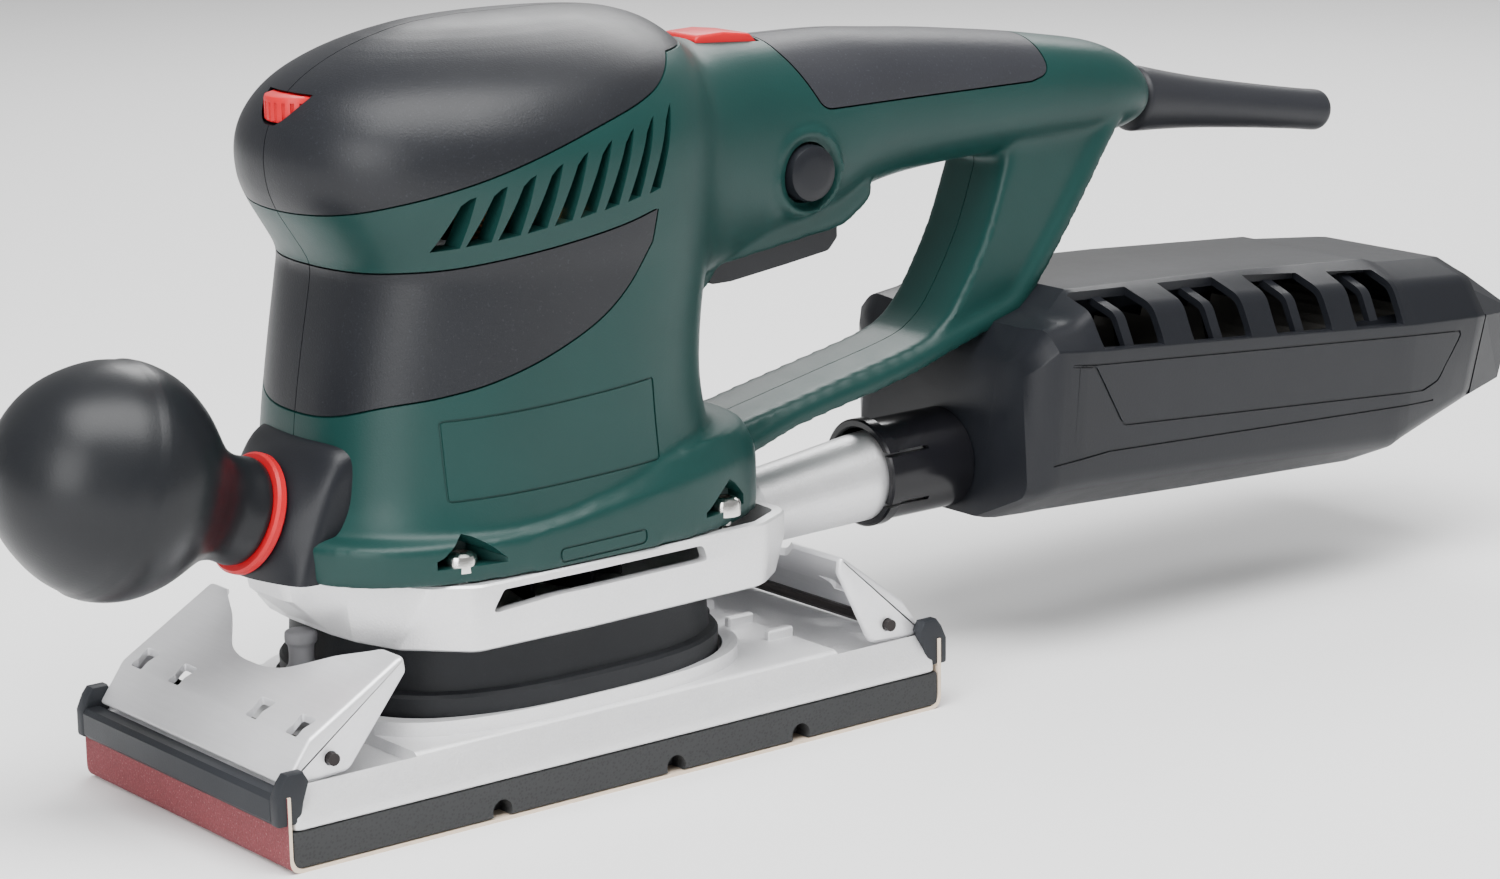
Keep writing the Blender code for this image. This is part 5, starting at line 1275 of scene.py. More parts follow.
@dataclass
class Controls:
    """The trigger, the lock button and the boost button."""

    trigger_outline: tuple[tuple[float, float, float], ...] = (
        (53.2, 107.8, 1.5), (60.0, 107.8, 3.0), (78.0, 109.9, 8.0), (91.0, 111.6, 2.5),
        (93.8, 114.6, 1.2), (93.8, 121.4, 0.6), (53.2, 121.4, 0.6))

    def trigger(self) -> None:
        """Make the long paddle under the grip bar."""
        low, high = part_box("trigger")
        outline = [Vector((min(max(p.x * MM, low.x), high.x), min(max(p.y * MM, low.z), high.z)))
                   for p in rounded(self.trigger_outline, 4)]
        bm = slab(outline, low.y, high.y)
        soften(bm, 1.6 * MM, 3, 60.0, lambda edge: abs(edge.verts[0].co.y - edge.verts[1].co.y)
               < 1e-6 and edge.verts[0].co.z < high.z - 0.3 * MM)
        finished(solid("trigger_look", bm), BLACK, "trigger", ["trigger"])

    def boost(self) -> None:
        """Make the red button on top of the cap."""
        low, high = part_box("boost_button")
        side = 0.2 * MM
        outline = [(low.x, low.z), (high.x, low.z), (high.x, high.z - 3.6 * MM),
                   (high.x - 2.2 * MM, high.z - 1.0 * MM), (low.x + 9 * MM, high.z),
                   (low.x + 1.2 * MM, high.z - 0.2 * MM), (low.x, high.z - 1.2 * MM)]
        bm = slab(outline, low.y + side, high.y - side)
        soften(bm, 1.1 * MM, 3, 25.0, lambda edge: min(v.co.z for v in edge.verts)
               > low.z + 4 * MM)
        finished(solid("boost_look", bm), RED, "boost_button", ["boost_button"])

    def lock(self) -> None:
        """Make the round button in the handle's side."""
        low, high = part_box("lock_button")
        middle = (low + high) / 2
        reach = high.y - low.y
        radius = min(high.x - low.x, high.z - low.z) / 2
        face = 7.0 * MM
        profile = [(0.0, face * 0.55), (0.25 * MM, face * 0.8), (0.8 * MM, face * 0.95),
                   (1.8 * MM, face), (reach - 1.5 * MM, face), (reach - 1.45 * MM, radius),
                   (reach, radius)]
        bm = turned(profile, (middle.x, low.y, middle.z), (0, 1, 0), 64)
        finished(solid("lock_look", bm), BLACK, "lock_button", ["lock_button"])

    def build(self) -> None:
        """Make the three controls."""
        self.trigger()
        self.boost()
        self.lock()


# ---- lower casting -----------------------------------------------------------------------
@dataclass
class LowerHousing:
    """The alloy lower housing with its exhaust slots and the extraction tube."""

    top_z: float = 56.2
    # x, half width and corner radius of the outline's upper half, in mm
    top: tuple[tuple[float, float, float], ...] = (
        (-72.0, 8.0, 5.0), (-61.6, 19.4, 1.0), (-50.5, 37.6, 7.0), (-41.0, 44.4, 7.0),
        (-10.0, 44.5, 30.0), (42.0, 43.0, 9.0), (55.0, 36.0, 8.0), (56.5, 10.0, 4.0))
    mid: tuple[tuple[float, float, float], ...] = (
        (-70.5, 8.4, 5.0), (-61.0, 19.2, 1.0), (-52.5, 36.0, 7.0), (-41.5, 44.8, 7.0),
        (-10.0, 45.0, 30.0), (42.0, 43.2, 9.0), (55.0, 36.0, 8.0), (56.5, 10.0, 4.0))
    low: tuple[tuple[float, float, float], ...] = (
        (-60.5, 9.0, 4.0), (-59.4, 18.4, 1.0), (-55.2, 31.0, 6.0), (-42.4, 44.6, 6.0),
        (-10.0, 44.9, 30.0), (42.0, 42.8, 9.0), (53.5, 34.0, 8.0), (55.0, 10.0, 4.0))
    low_z: float = 40.5
    wall: float = 3.0
    slot: tuple[tuple[float, float, float], ...] = (
        (-38.5, 49.2, 1.0), (-34.6, 54.3, 1.6), (23.0, 54.3, 1.6), (24.2, 50.4, 1.0),
        (-20.0, 50.4, 4.0))

    def outline(self, rows: Sequence[Sequence[float]], inset: float = 0.0) -> list[Vector]:
        """Return a closed outline from its half, in mm."""
        lower = [(x, -y, r) for x, y, r in rows]
        upper = [(x, y, r) for x, y, r in reversed(rows)]
        outline = rounded(lower + upper, 6)
        return offset_outline(outline, -inset) if inset else outline

    def levels(self, inset: float) -> list[list[Vector]]:
        """Return the rings of the outer skin, drawn in by an inset, in metres."""
        top, mid, low = (self.outline(rows, inset) for rows in (self.top, self.mid, self.low))
        edge = self.outline(self.low, inset + 1.3)
        rim = self.outline(self.top, inset + 0.5)
        heights = ((self.low_z, edge), (self.low_z + 0.6, self.outline(self.low, inset + 0.3)),
                   (self.low_z + 1.6, low), (50.4, mid), (self.top_z - 0.5, top),
                   (self.top_z, rim))
        return [[Vector((p.x, p.y, z)) * MM for p in ring] for z, ring in heights]

    def build(self) -> None:
        """Make the casting and the tube."""
        body = solid("casting_look", loft(self.levels(0.0)))
        inner = [[Vector((p.x, p.y, z)) * MM for p in self.outline(rows, self.wall)]
                 for z, rows in ((43.6, self.low), (50.4, self.mid), (57.0, self.top))]
        carve(body, Cut.TAKE, [solid("inside", loft(inner))])
        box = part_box("lower_housing")
        boss = turned([(box[0].z, 16.2 * MM), (box[0].z + 0.9 * MM, 17 * MM),
                       (42 * MM, 17 * MM)], (*self.axis(), 0), (0, 0, 1), 48)
        carve(body, Cut.ADD, [solid("boss", boss)])
        bore = turned([(20 * MM, 11.3 * MM), (60 * MM, 11.3 * MM)], (*self.axis(), 0),
                      (0, 0, 1), 48)
        carve(body, Cut.TAKE, [solid("bore", bore)])
        slots = []
        for side in Side:
            outline = [point * MM for point in rounded(self.slot, 4)]
            ys = sorted((side.value * 36 * MM, side.value * 52 * MM))
            slots.append(solid("slot", slab(outline, *ys)))
        carve(body, Cut.TAKE, slots)
        self.tube(body)
        finished(body, ALLOY, "housing", ["lower_housing"])

    @staticmethod
    def axis() -> Pair:
        """Return the place of the motor's axis."""
        low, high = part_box("lower_bearing")
        return ((low.x + high.x) / 2, (low.y + high.y) / 2)

    def tube(self, body: bpy.types.Object) -> None:
        """Make the flared tube that carries the dust to the box, and its spigot."""
        start, end = Vector((0.054, 0, 0.0452)), Vector((0.122, 0, 0.050))
        axis = end - start
        spigot = turned([(-4 * MM, 10.9 * MM), (4.0 * MM, 10.9 * MM), (4.8 * MM, 10.2 * MM)],
                        start, axis, 48)
        carve(body, Cut.ADD, [solid("spigot", spigot)])
        through_bore = turned([(-8 * MM, 8.5 * MM), (10 * MM, 8.5 * MM)], start, axis, 48)
        carve(body, Cut.TAKE, [solid("spigot_bore", through_bore)])
        outer = [(2.0, 8.2), (14.0, 8.2), (16.0, 9.6), (30.0, 10.2), (44.0, 10.9), (54.0, 11.4),
                 (67.2, 11.4), (68.0, 10.8)]
        inner = [(68.0, 9.6), (54.0, 9.4), (30.0, 8.4), (14.0, 6.9), (2.0, 6.9)]
        ring = turned([(a * MM, r * MM) for a, r in outer + inner], start, axis, 64, True)
        finished(solid("tube_look", ring), ALLOY, "housing", ["extraction_tube"])


# ---- rubber boot and posts ---------------------------------------------------------------
@dataclass
class Boot:
    """The rubber boot between the casting and the pad, with the posts that carry the pad."""

    middle_x: float = -6.0
    half: Pair = (50.0, 38.6)
    power: float = 2.8
    # height and how far the wall stands out, in mm
    wall: tuple[Pair, ...] = ((20.3, 1.6), (20.9, 2.2), (27.6, 2.3), (28.4, 1.7), (28.9, 0.3),
                              (32.0, 0.0), (36.0, -0.2), (39.8, -0.4), (40.2, -0.8))
    tongue_radius: float = 6.3
    tongue_xs: Pair = (-62.0, 50.0)

    def ring(self, z: float, out: float) -> list[Vector]:
        """Return the wall's outline at a height, in metres."""
        return [Vector((self.middle_x + a, b, z)) * MM
                for a, b in superellipse(self.half[0] + out, self.half[1] + out, self.power, 96)]

    def build(self) -> None:
        """Make the boot's wall with its foot and the tongues that the posts stand in."""
        body = solid("boot_look", loft([self.ring(z, out) for z, out in self.wall]))
        inner = loft([self.ring(20.0, -3.6), self.ring(41.0, -3.6)])
        tongues = []
        for x in self.tongue_xs:
            toward = 1 if x < self.middle_x else -1
            outline = []
            for i in range(13):
                angle = math.pi / 2 + math.pi * i / 12
                outline.append((x + toward * math.cos(angle) * self.tongue_radius,
                                math.sin(angle) * self.tongue_radius))
            outline += [(x + toward * 18, -self.tongue_radius), (x + toward * 18,
                                                                 self.tongue_radius)]
            tongues.append(solid("tongue", soften(slab([Vector(p) * MM for p in outline],
                                                       20.3 * MM, 24.3 * MM, "Z"), 0.6 * MM, 2,
                                                  60.0)))
        carve(body, Cut.ADD, tongues)
        carve(body, Cut.TAKE, [solid("boot_inside", inner)])
        holes = [solid("post_hole", turned([(19 * MM, 3.9 * MM), (30 * MM, 3.9 * MM)],
                                           (x * MM, 0, 0), (0, 0, 1), 32))
                 for x in self.tongue_xs]
        carve(body, Cut.TAKE, holes)
        finished(body, RUBBER, "pad", ["boot"])
        self.posts()

    def posts(self) -> None:
        """Make the waisted rubber posts."""
        for number in range(1, 5):
            name = f"leg_{number}"
            low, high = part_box(name)
            middle, radius = (low + high) / 2, (high.x - low.x) / 2
            height = high.z - low.z
            profile = [(0.0, radius * 0.86), (0.04, radius), (0.22, radius), (0.3, radius * 0.84),
                       (0.5, radius * 0.78), (0.7, radius * 0.84), (0.78, radius),
                       (0.96, radius), (1.0, radius * 0.86)]
            bm = turned([(t * height, r) for t, r in through(profile, 4)],
                        (middle.x, middle.y, low.z), (0, 0, 1), 40)
            finished(solid(name + "_look", bm), POST, "pad", [name])


# ---- pad ---------------------------------------------------------------------------------
@dataclass
class Pad:
    """The alloy sanding plate with its foam and paper."""

    half: Pair = (78.0, 46.0)
    foot_z: float = 9.8
    shoulder_z: float = 12.6
    deck_z: float = 20.0
    slope: float = 4.4          # mm that the sides lean in up to the deck
    rim: Pair = (23.4, 2.6)     # top height and width of the rim round the boot, in mm
    notch_xs: tuple[float, ...] = (-38.0, 12.0, 50.0)

    def plate(self) -> None:
        """Make the cast plate: leaning sides, a rim round the boot and ribs."""
        low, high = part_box("pad_plate")
        half_x = (high.x - low.x) / 2 / MM
        middle = (high.x + low.x) / 2 / MM

        def ring(inset: float, z: float) -> list[Vector]:
            """Return the plate's outline, drawn in, at a height."""
            a, b = half_x - inset * 0.4, self.half[1] - inset
            corners = [(middle - a, -b, 2.0), (middle + a, -b, 2.0), (middle + a, b, 2.0),
                       (middle - a, b, 2.0)]
            return [Vector((p.x, p.y, z)) * MM for p in rounded(corners, 4)]

        plate = solid("plate_look", loft([
            ring(0.35, self.foot_z), ring(0.0, self.foot_z + 0.4), ring(0.1, self.shoulder_z),
            ring(self.slope - 0.9, self.deck_z - 0.7), ring(self.slope, self.deck_z - 0.1),
            ring(self.slope + 0.8, self.deck_z)]))
        boot = Boot()
        outer = [Vector((boot.middle_x + a, b)) * MM
                 for a, b in superellipse(boot.half[0] + 6.6, 41.3, 3.2, 96)]
        inner = [Vector((boot.middle_x + a, b)) * MM
                 for a, b in superellipse(boot.half[0] + 3.2, 39.9, 3.0, 96)]
        rim = solid("rim", loft([[Vector((p.x, p.y, z)) for p in outer]
                                 for z in (17 * MM, self.rim[0] * MM)]))
        carve(rim, Cut.TAKE, [solid("rim_inside", loft([[Vector((p.x, p.y, z)) for p in inner]
                                                        for z in (16 * MM, 25 * MM)]))])
        notches = [solid("rim_notch", block(((x - 9) * MM, -0.009, (self.deck_z + 0.05) * MM),
                                            ((x + 9) * MM, 0.009, 0.026)))
                   for x in boot.tongue_xs]
        carve(rim, Cut.TAKE, notches)
        extras = [rim]
        for sign in (-1, 1):
            for y in (-24, -8, 8, 24):
                x = sign * 66.0
                extras.append(solid("rib", soften(slab(
                    [Vector(p) * MM for p in ((x - 9, 18.0), (x + 9, 18.0),
                                              (x + 9 - 7 * (sign > 0), 22.4),
                                              (x - 9 + 7 * (sign < 0), 22.4))],
                    (y - 1.1) * MM, (y + 1.1) * MM), 0.4 * MM, 1, 60.0)))
        carve(plate, Cut.ADD, extras)
        self.trim(plate)
        finished(plate, PLATE_ALLOY, "pad", ["pad_plate"])

    @staticmethod
    def trim(plate: bpy.types.Object) -> None:
        """Cut the seats of the bearing and the clamps' pins out of the plate."""
        tools = []
        low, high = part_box("eccentric_bearing")
        middle = (low + high) / 2
        tools.append(turned([(low.z, (high.x - low.x) / 2), (30 * MM, (high.x - low.x) / 2)],
                            (middle.x, middle.y, 0), (0, 0, 1), 48))
        tools.append(turned([(19.9 * MM, 24 * MM), (32 * MM, 24 * MM)],
                            (middle.x, middle.y, 0), (0, 0, 1), 64))
        for name in ("front_clamp_lever", "rear_clamp_lever"):
            low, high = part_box(name)
            tools.append(block((low.x - 1 * MM, low.y - 0.6 * MM, low.z - 1 * MM),
                               (high.x + 1 * MM, high.y + 0.6 * MM, high.z)))
        carve(plate, Cut.TAKE, [solid("seat", tool) for tool in tools])

    def foam(self) -> None:
        """Make the foam with its round notches along both long sides."""
        low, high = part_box("pad_foam")
        bm = block(low, high)
        soften(bm, 0.5 * MM, 2, 60.0)
        foam = solid("foam_look", bm)
        holes = []
        for x in self.notch_xs:
            for y in (low.y, high.y):
                holes.append(solid("notch", turned([(-5 * MM, 2.7 * MM), (5 * MM, 2.7 * MM)],
                                                   (x * MM, y, low.z + 1.4 * MM), (0, 1, 0),
                                                   28)))
        carve(foam, Cut.TAKE, holes)
        finished(foam, FOAM, "pad", ["pad_foam"])

    def paper(self) -> None:
        """Make the paper: grit outside, pale backing inside and along its cut edges."""
        low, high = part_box("sandpaper")
        bend, thick = 3.4, 0.85
        outer = [(low.x / MM, high.z / MM, 0.0), (low.x / MM, 0.0, bend),
                 (high.x / MM, 0.0, bend), (high.x / MM, high.z / MM, 0.0)]
        inner = [(high.x / MM - thick, high.z / MM, 0.0), (high.x / MM - thick, thick, bend),
                 (low.x / MM + thick, thick, bend), (low.x / MM + thick, high.z / MM, 0.0)]
        outline = [point * MM for point in rounded(outer + inner, 8)]
        sheet = finished(solid("paper_look", slab(outline, low.y, high.y)), GRIT, "pad",
                         ["sandpaper"])
        sheet.data.materials.append(BACKING.material())
        middle = Vector((0, 0, 40 * MM))
        for polygon in sheet.data.polygons:
            inward = (middle - polygon.center).dot(polygon.normal) > 0
            if abs(polygon.normal.y) > 0.9 or inward:
                polygon.material_index = 1

    def build(self) -> None:
        """Make the plate, the foam and the paper."""
        self.plate()
        self.foam()
        self.paper()


# ---- paper clamps ------------------------------------------------------------------------
@dataclass
class Clamp:
    """A paper clamp: a pressed lever and a rubber-faced jaw, both bored for the pin."""

    stem: str
    end: int                    # -1 in front, 1 at the rear
    foot: Pair = (93.4, 19.0)   # distance from the pad's middle and height, in mm
    bend: Pair = (86.4, 28.6)
    horn: Pair = (60.5, 43.6)
    pivot: Pair = (81.0, 23.4)
    half: float = 42.0
    sheet: float = 1.6
    notch: tuple[Pair, ...] = (
        (57.0, 37.4), (61.4, 33.6), (64.0, 28.6), (66.8, 22.6), (70.4, 17.0), (73.6, 11.4),
        (75.0, 5.6))

    def at(self, out: float, y: float, z: float) -> Vector:
        """Return a point given its distance from the pad's middle towards this end, in mm."""
        return Vector((self.end * out, y, z)) * MM

    def skin(self) -> bmesh.types.BMesh:
        """Build the lever's filled form with rounded folds along its two sides."""
        profile = rounded([(self.foot[0], self.foot[1], 1.5), (*self.bend, 5.0),
                           (self.horn[0], self.horn[1], 2.0),
                           (self.horn[0] - 0.6, self.horn[1] - 4.4, 2.0),
                           (self.pivot[0] - 5.0, self.pivot[1] - 4.2, 3.4),
                           (self.pivot[0] + 3.6, self.pivot[1] - 4.8, 3.0),
                           (self.foot[0] - 3.4, self.foot[1] - 0.4, 1.5)], 6)
        rings = []
        for y, inset in ((-42.0, 1.0), (-41.75, 0.5), (-41.3, 0.18), (-40.6, 0.0),
                         (40.6, 0.0), (41.3, 0.18), (41.75, 0.5), (42.0, 1.0)):
            ring = offset_outline(profile, -inset) if inset else profile
            rings.append([self.at(p[0], y, p[1]) for p in ring])
        return loft(rings)

    def lever(self) -> None:
        """Make the lever: a folded channel with a deep notch and pinched windows."""
        lever = solid(self.stem + "_lever_look", self.skin())
        carve(lever, Cut.TAKE, [solid("open_under", self.inside())])
        points = list(self.notch) + [(75.2, 0.0)] + [(out, -y) for out, y
                                                     in reversed(self.notch)]
        outline = [Vector((44.0, points[0][1]))] + through(points, 4)
        outline.append(Vector((44.0, points[-1][1])))
        notch = slab([(self.end * p.x * MM, p.y * MM) for p in outline], 28.0 * MM, 60 * MM,
                     "Z")
        carve(lever, Cut.TAKE, [solid("notch", notch)])
        windows = []
        for y in (-34.6, -17.4, 17.4, 34.6):
            windows.append(self.window(y))
        carve(lever, Cut.TAKE, windows)
        pin = turned([(-50 * MM, 1.7 * MM), (50 * MM, 1.7 * MM)],
                     self.at(self.pivot[0], 0, self.pivot[1]), (0, 1, 0), 24)
        carve(lever, Cut.TAKE, [solid("pin_hole", pin)])
        finished(lever, PRESSED, self.stem, [self.stem + "_lever"], math.radians(40))

    def inside(self) -> bmesh.types.BMesh:
        """Return the space under the folded sheet, open below and behind."""
        foot, bend, horn = (Vector(p) for p in (self.foot, self.bend, self.horn))
        first, second = (bend - foot).normalized(), (horn - bend).normalized()
        sink_first = Vector((-first.y, first.x)) * self.sheet
        sink_second = Vector((-second.y, second.x)) * self.sheet
        corner = bend + (sink_first + sink_second) * 0.52
        outline = rounded([(*(foot + sink_first - first * 8), 0.0), (*corner, 3.0),
                           (*(horn + sink_second + second * 12), 0.0),
                           (horn.x - 14, 8.0, 0.0)], 5)
        half = self.half - self.sheet
        return slab([(self.end * p.x * MM, p.y * MM) for p in outline], -half * MM, half * MM)

    def window(self, y: float) -> bpy.types.Object:
        """Return the cutter of one window, pinched in the middle of its long sides."""
        outline = rounded([(86.6, y - 2.6, 0.6), (84.6, y - 2.0, 1.0), (81.4, y - 3.2, 0.7),
                           (81.4, y + 3.2, 0.7), (84.6, y + 2.0, 1.0), (86.6, y + 2.6, 0.6)], 4)
        return solid("window", slab([(self.end * p.x * MM, p.y * MM) for p in outline],
                                    26.0 * MM, 60 * MM, "Z"))

    def jaw(self) -> None:
        """Make the jaw: a strip along the paper with a hook at each end."""
        low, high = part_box(self.stem + "_jaw")
        outer = max(abs(low.x), abs(high.x)) / MM
        face = min(abs(low.x), abs(high.x)) / MM
        profile = [(face, 10.9), (outer - 1.2, 10.9), (outer, 12.2), (outer, 17.2),
                   (outer - 1.0, 18.4), (face + 1.6, 18.4), (face, 17.0)]
        bm = slab([(self.end * p[0] * MM, p[1] * MM) for p in profile], -42.3 * MM, 42.3 * MM)
        strip = solid(self.stem + "_jaw_look", soften(bm, 0.45 * MM, 2, 60.0))
        hooks = []
        for side in Side:
            ys = sorted((side.value * 42.0 * MM, side.value * 45.6 * MM))
            hook = [(self.end * out * MM, z * MM) for out, z in
                    ((outer, 11.2), (outer, 17.8), (outer - 1.6, 21.2), (outer - 3.0, 23.0),
                     (face - 1.2, 23.0), (face - 2.6, 20.6), (face - 1.0, 16.0), (face, 11.2))]
            hooks.append(solid("hook", soften(slab(hook, *ys), 0.7 * MM, 2, 60.0)))
        carve(strip, Cut.ADD, hooks)
        pin = turned([(-50 * MM, 1.55 * MM), (50 * MM, 1.55 * MM)],
                     self.at(self.pivot[0], 0, self.pivot[1]), (0, 1, 0), 24)
        carve(strip, Cut.TAKE, [solid("jaw_hole", pin)])
        finished(strip, JAW_BLACK, self.stem, [self.stem + "_jaw"])

    def build(self) -> None:
        """Make the lever and the jaw."""
        self.lever()
        self.jaw()


# ---- dust box ----------------------------------------------------------------------------
@dataclass
class DustBox:
    """The ribbed dust box and its collar."""

    # x, bottom, chamfer, crease and roof height, then the half widths there, in mm
    sections: tuple[tuple[float, ...], ...] = (
        (135.5, 36.0, 45.0, 76.0, 78.4, 13.0, 33.4, 31.5, 22.0),
        (138.0, 35.4, 45.2, 79.6, 83.0, 14.0, 35.6, 36.6, 24.4),
        (141.0, 35.0, 45.4, 83.0, 87.2, 14.6, 36.8, 39.4, 24.6),
        (150.0, 34.6, 45.5, 82.2, 89.6, 15.0, 37.2, 40.4, 24.4),
        (157.0, 34.4, 45.2, 81.4, 95.0, 15.0, 37.2, 40.5, 23.4),
        (164.0, 34.1, 44.8, 80.9, 94.6, 15.2, 37.2, 40.5, 23.2),
        (210.0, 32.0, 42.4, 77.2, 92.4, 16.0, 37.2, 40.5, 23.0),
        (269.0, 29.9, 38.2, 72.2, 88.4, 18.0, 37.2, 40.5, 23.0),
        (273.0, 31.2, 39.8, 71.9, 87.2, 18.4, 37.2, 40.5, 23.6),
        (298.0, 38.8, 46.2, 70.6, 84.9, 23.0, 34.8, 40.2, 22.0),
        (301.4, 40.4, 46.8, 70.4, 84.5, 23.6, 34.2, 39.8, 21.6),
        (302.0, 40.8, 47.2, 70.2, 84.1, 23.2, 33.8, 39.4, 21.2))
    wall: float = 2.2
    windows: tuple[Pair, ...] = ((155.6, 177.4), (187.6, 209.4), (218.4, 240.0), (249.0, 268.0))

    def section(self, x: float, inset: float = 0.0, round_off: float = 2.4) -> list[Vector]:
        """Return the box's section at x, in metres."""
        rows = self.sections
        index = next((i for i in range(len(rows) - 1) if x <= rows[i + 1][0]), len(rows) - 2)
        a, b = rows[index], rows[index + 1]
        t = min(max((x - a[0]) / (b[0] - a[0]), 0.0), 1.0)
        bottom, chamfer, crease, roof, w1, w2, w3, w4 = (
            p + (q - p) * t for p, q in zip(a[1:], b[1:]))
        arch = (x - 160) / 110
        bulge = 1.2 if 0 < arch < 1 else 0.0
        half = [(w1, bottom, 3.0), (w2, chamfer, 6.0), (w3, crease, 1.2),
                ((w3 + w4) / 2 + 2.6 + bulge, (crease + roof) / 2 + 3.0, 7.0),
                (w4, roof, round_off)]
        corners = [(y, z, r) for y, z, r in half] + [(-y, z, r) for y, z, r in reversed(half)]
        outline = rounded(corners, 4)
        if inset:
            outline = offset_outline(outline, -inset)
        return [Vector((x * MM, p.x * MM, p.y * MM)) for p in outline]

    def stations(self, low: float, high: float, step: float = 4.0) -> list[float]:
        """Return places along the box, the section table's own among them."""
        spots = {round(low, 3), round(high, 3)}
        spots |= {row[0] for row in self.sections if low < row[0] < high}
        count = int((high - low) / step)
        spots |= {round(low + (high - low) * i / count, 3) for i in range(1, count)}
        return sorted(spots)

    def window_tools(self) -> list[bpy.types.Object]:
        """Return the cutters of the arched windows in the roof's shoulders."""
        tools = []
        for low, high in self.windows:
            outline = rounded([(low, 0, 2.2), (high, 0, 2.2), (high - 0.6, 1, 2.4),
                               (low + 0.6, 1, 2.4)], 4)
            for side in Side:
                def ring(along: float) -> list[Vector]:
                    """Return the window's outline at a distance out of the box."""
                    points = []
                    for p in outline:
                        z = 82.4 - (p.x - 150) * 0.082 + p.y * (14.6 - (p.x - 160) * 0.01)
                        points.append(Vector((p.x * MM, side.value * along * MM, z * MM)))
                    return points

                tools.append(solid("window", loft([ring(25.4), ring(52.0)])))
        return tools

    def body(self) -> None:
        """Make the box: a bevelled shell with arched ribs and outline reliefs."""
        low, high = self.sections[0][0], self.sections[-1][0]
        xs = self.stations(low, high)
        box = solid("box_look", loft([self.section(x) for x in xs]))
        inner = [self.section(x, self.wall) for x in self.stations(low + 2.6, high)]
        inner.append([Vector((high * MM + 0.01, p.y, p.z)) for p in self.section(high,
                                                                                self.wall)])
        carve(box, Cut.TAKE, [solid("box_space", loft(inner))])
        reliefs = self.reliefs()
        carve(box, Cut.TAKE, reliefs)
        carve(box, Cut.TAKE, self.window_tools())
        arches = self.inner_arches()
        carve(box, Cut.ADD, arches)
        collar_low, collar_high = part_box("dust_collar")
        bore = turned([(130 * MM, 11.9 * MM), (145 * MM, 11.9 * MM)],
                      (0, 0, (collar_low.z + collar_high.z) / 2), (1, 0, 0), 48)
        carve(box, Cut.TAKE, [solid("inlet", bore)])
        finished(box, BLACK, "dust_box", ["dust_box"])

    def inner_arches(self) -> list[bpy.types.Object]:
        """Return the slimmer arches that stand in the middle of the windows."""
        made = []
        for low, high in self.windows:
            middle = (low + high) / 2
            for side in Side:
                first = self.section(middle - 1.6, 1.9)
                second = self.section(middle + 1.6, 1.9)
                thin = solid("arch", loft([first, second]))
                hollow = solid("arch_space", loft([self.section(middle - 3, 3.9),
                                                   self.section(middle + 3, 3.9)]))
                carve(thin, Cut.TAKE, [hollow])
                ys = sorted((side.value * 24.0 * MM, side.value * 60 * MM))
                carve(thin, Cut.KEEP, [solid("arch_part", block(
                    ((middle - 5) * MM, ys[0], 74.6 * MM), ((middle + 5) * MM, ys[1], 0.1)))])
                made.append(thin)
        return made

    def reliefs(self) -> list[bpy.types.Object]:
        """Return the fine grooves that frame the side panels and the roof."""
        made = []
        panel = rounded([(143, 79.0, 2), (153, 77.6, 2), (164, 60.5, 3), (279, 52.2, 2),
                         (285, 54.0, 2), (293, 67.4, 2)], 3)
        shell = solid("relief_core", loft([self.section(x, 0.4) for x in
                                           self.stations(136.0, 301.9)]))
        outer = [p * MM for p in offset_outline(panel, 0.3)]
        inner = [p * MM for p in offset_outline(panel, -0.3)]
        ring = solid("panel_groove", slab(outer, -60 * MM, 60 * MM))
        carve(ring, Cut.TAKE, [solid("panel_middle", slab(inner, -61 * MM, 61 * MM))])
        carve(ring, Cut.TAKE, [shell], keep_tools=True)
        line = [Vector(p) * MM for p in ((141, 52.6), (160, 53.8), (284, 48.2), (284, 48.7),
                                         (160, 54.4), (141, 53.2))]
        groove = solid("line_groove", slab(line, -60 * MM, 60 * MM))
        carve(groove, Cut.TAKE, [shell])
        made += [ring, groove]
        return made

    def collar(self) -> None:
        """Make the glossy collar that slips over the tube."""
        low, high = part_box("dust_collar")
        centre = (low + high) / 2
        start = (low.x, 0.0, centre.z)
        reach = (high.z - low.z) / 2
        length = high.x - low.x
        wide = min((high.y - low.y) / 2, reach)
        outer = [(0.0, wide - 0.5 * MM), (0.5 * MM, wide), (3.4 * MM, wide),
                 (3.8 * MM, wide - 0.9 * MM), (length - 0.5 * MM, wide - 0.9 * MM),
                 (length, wide - 0.9 * MM)]
        inner = [(length, 11.7 * MM), (0.6 * MM, 11.7 * MM), (0.0, 12.2 * MM)]
        ring = solid("collar_look", turned(outer + inner, start, (1, 0, 0), 80, True))
        slits = []
        for angle in (-0.5, 0.5):
            y, z = math.sin(angle + math.pi / 2), math.cos(angle + math.pi / 2)
            centre_y, centre_z = -y * 14 * MM, centre.z + z * 14 * MM
            slits.append(solid("slit", block(
                (low.x - 1 * MM, centre_y - 4 * MM, centre_z - 0.5 * MM),
                (low.x + 14 * MM, centre_y + 4 * MM, centre_z + 0.5 * MM))))
        carve(ring, Cut.TAKE, slits)
        finished(ring, GLOSS_BLACK, "dust_box", ["dust_collar"])

    def build(self) -> None:
        """Make the box and its collar."""
        self.body()
        self.collar()


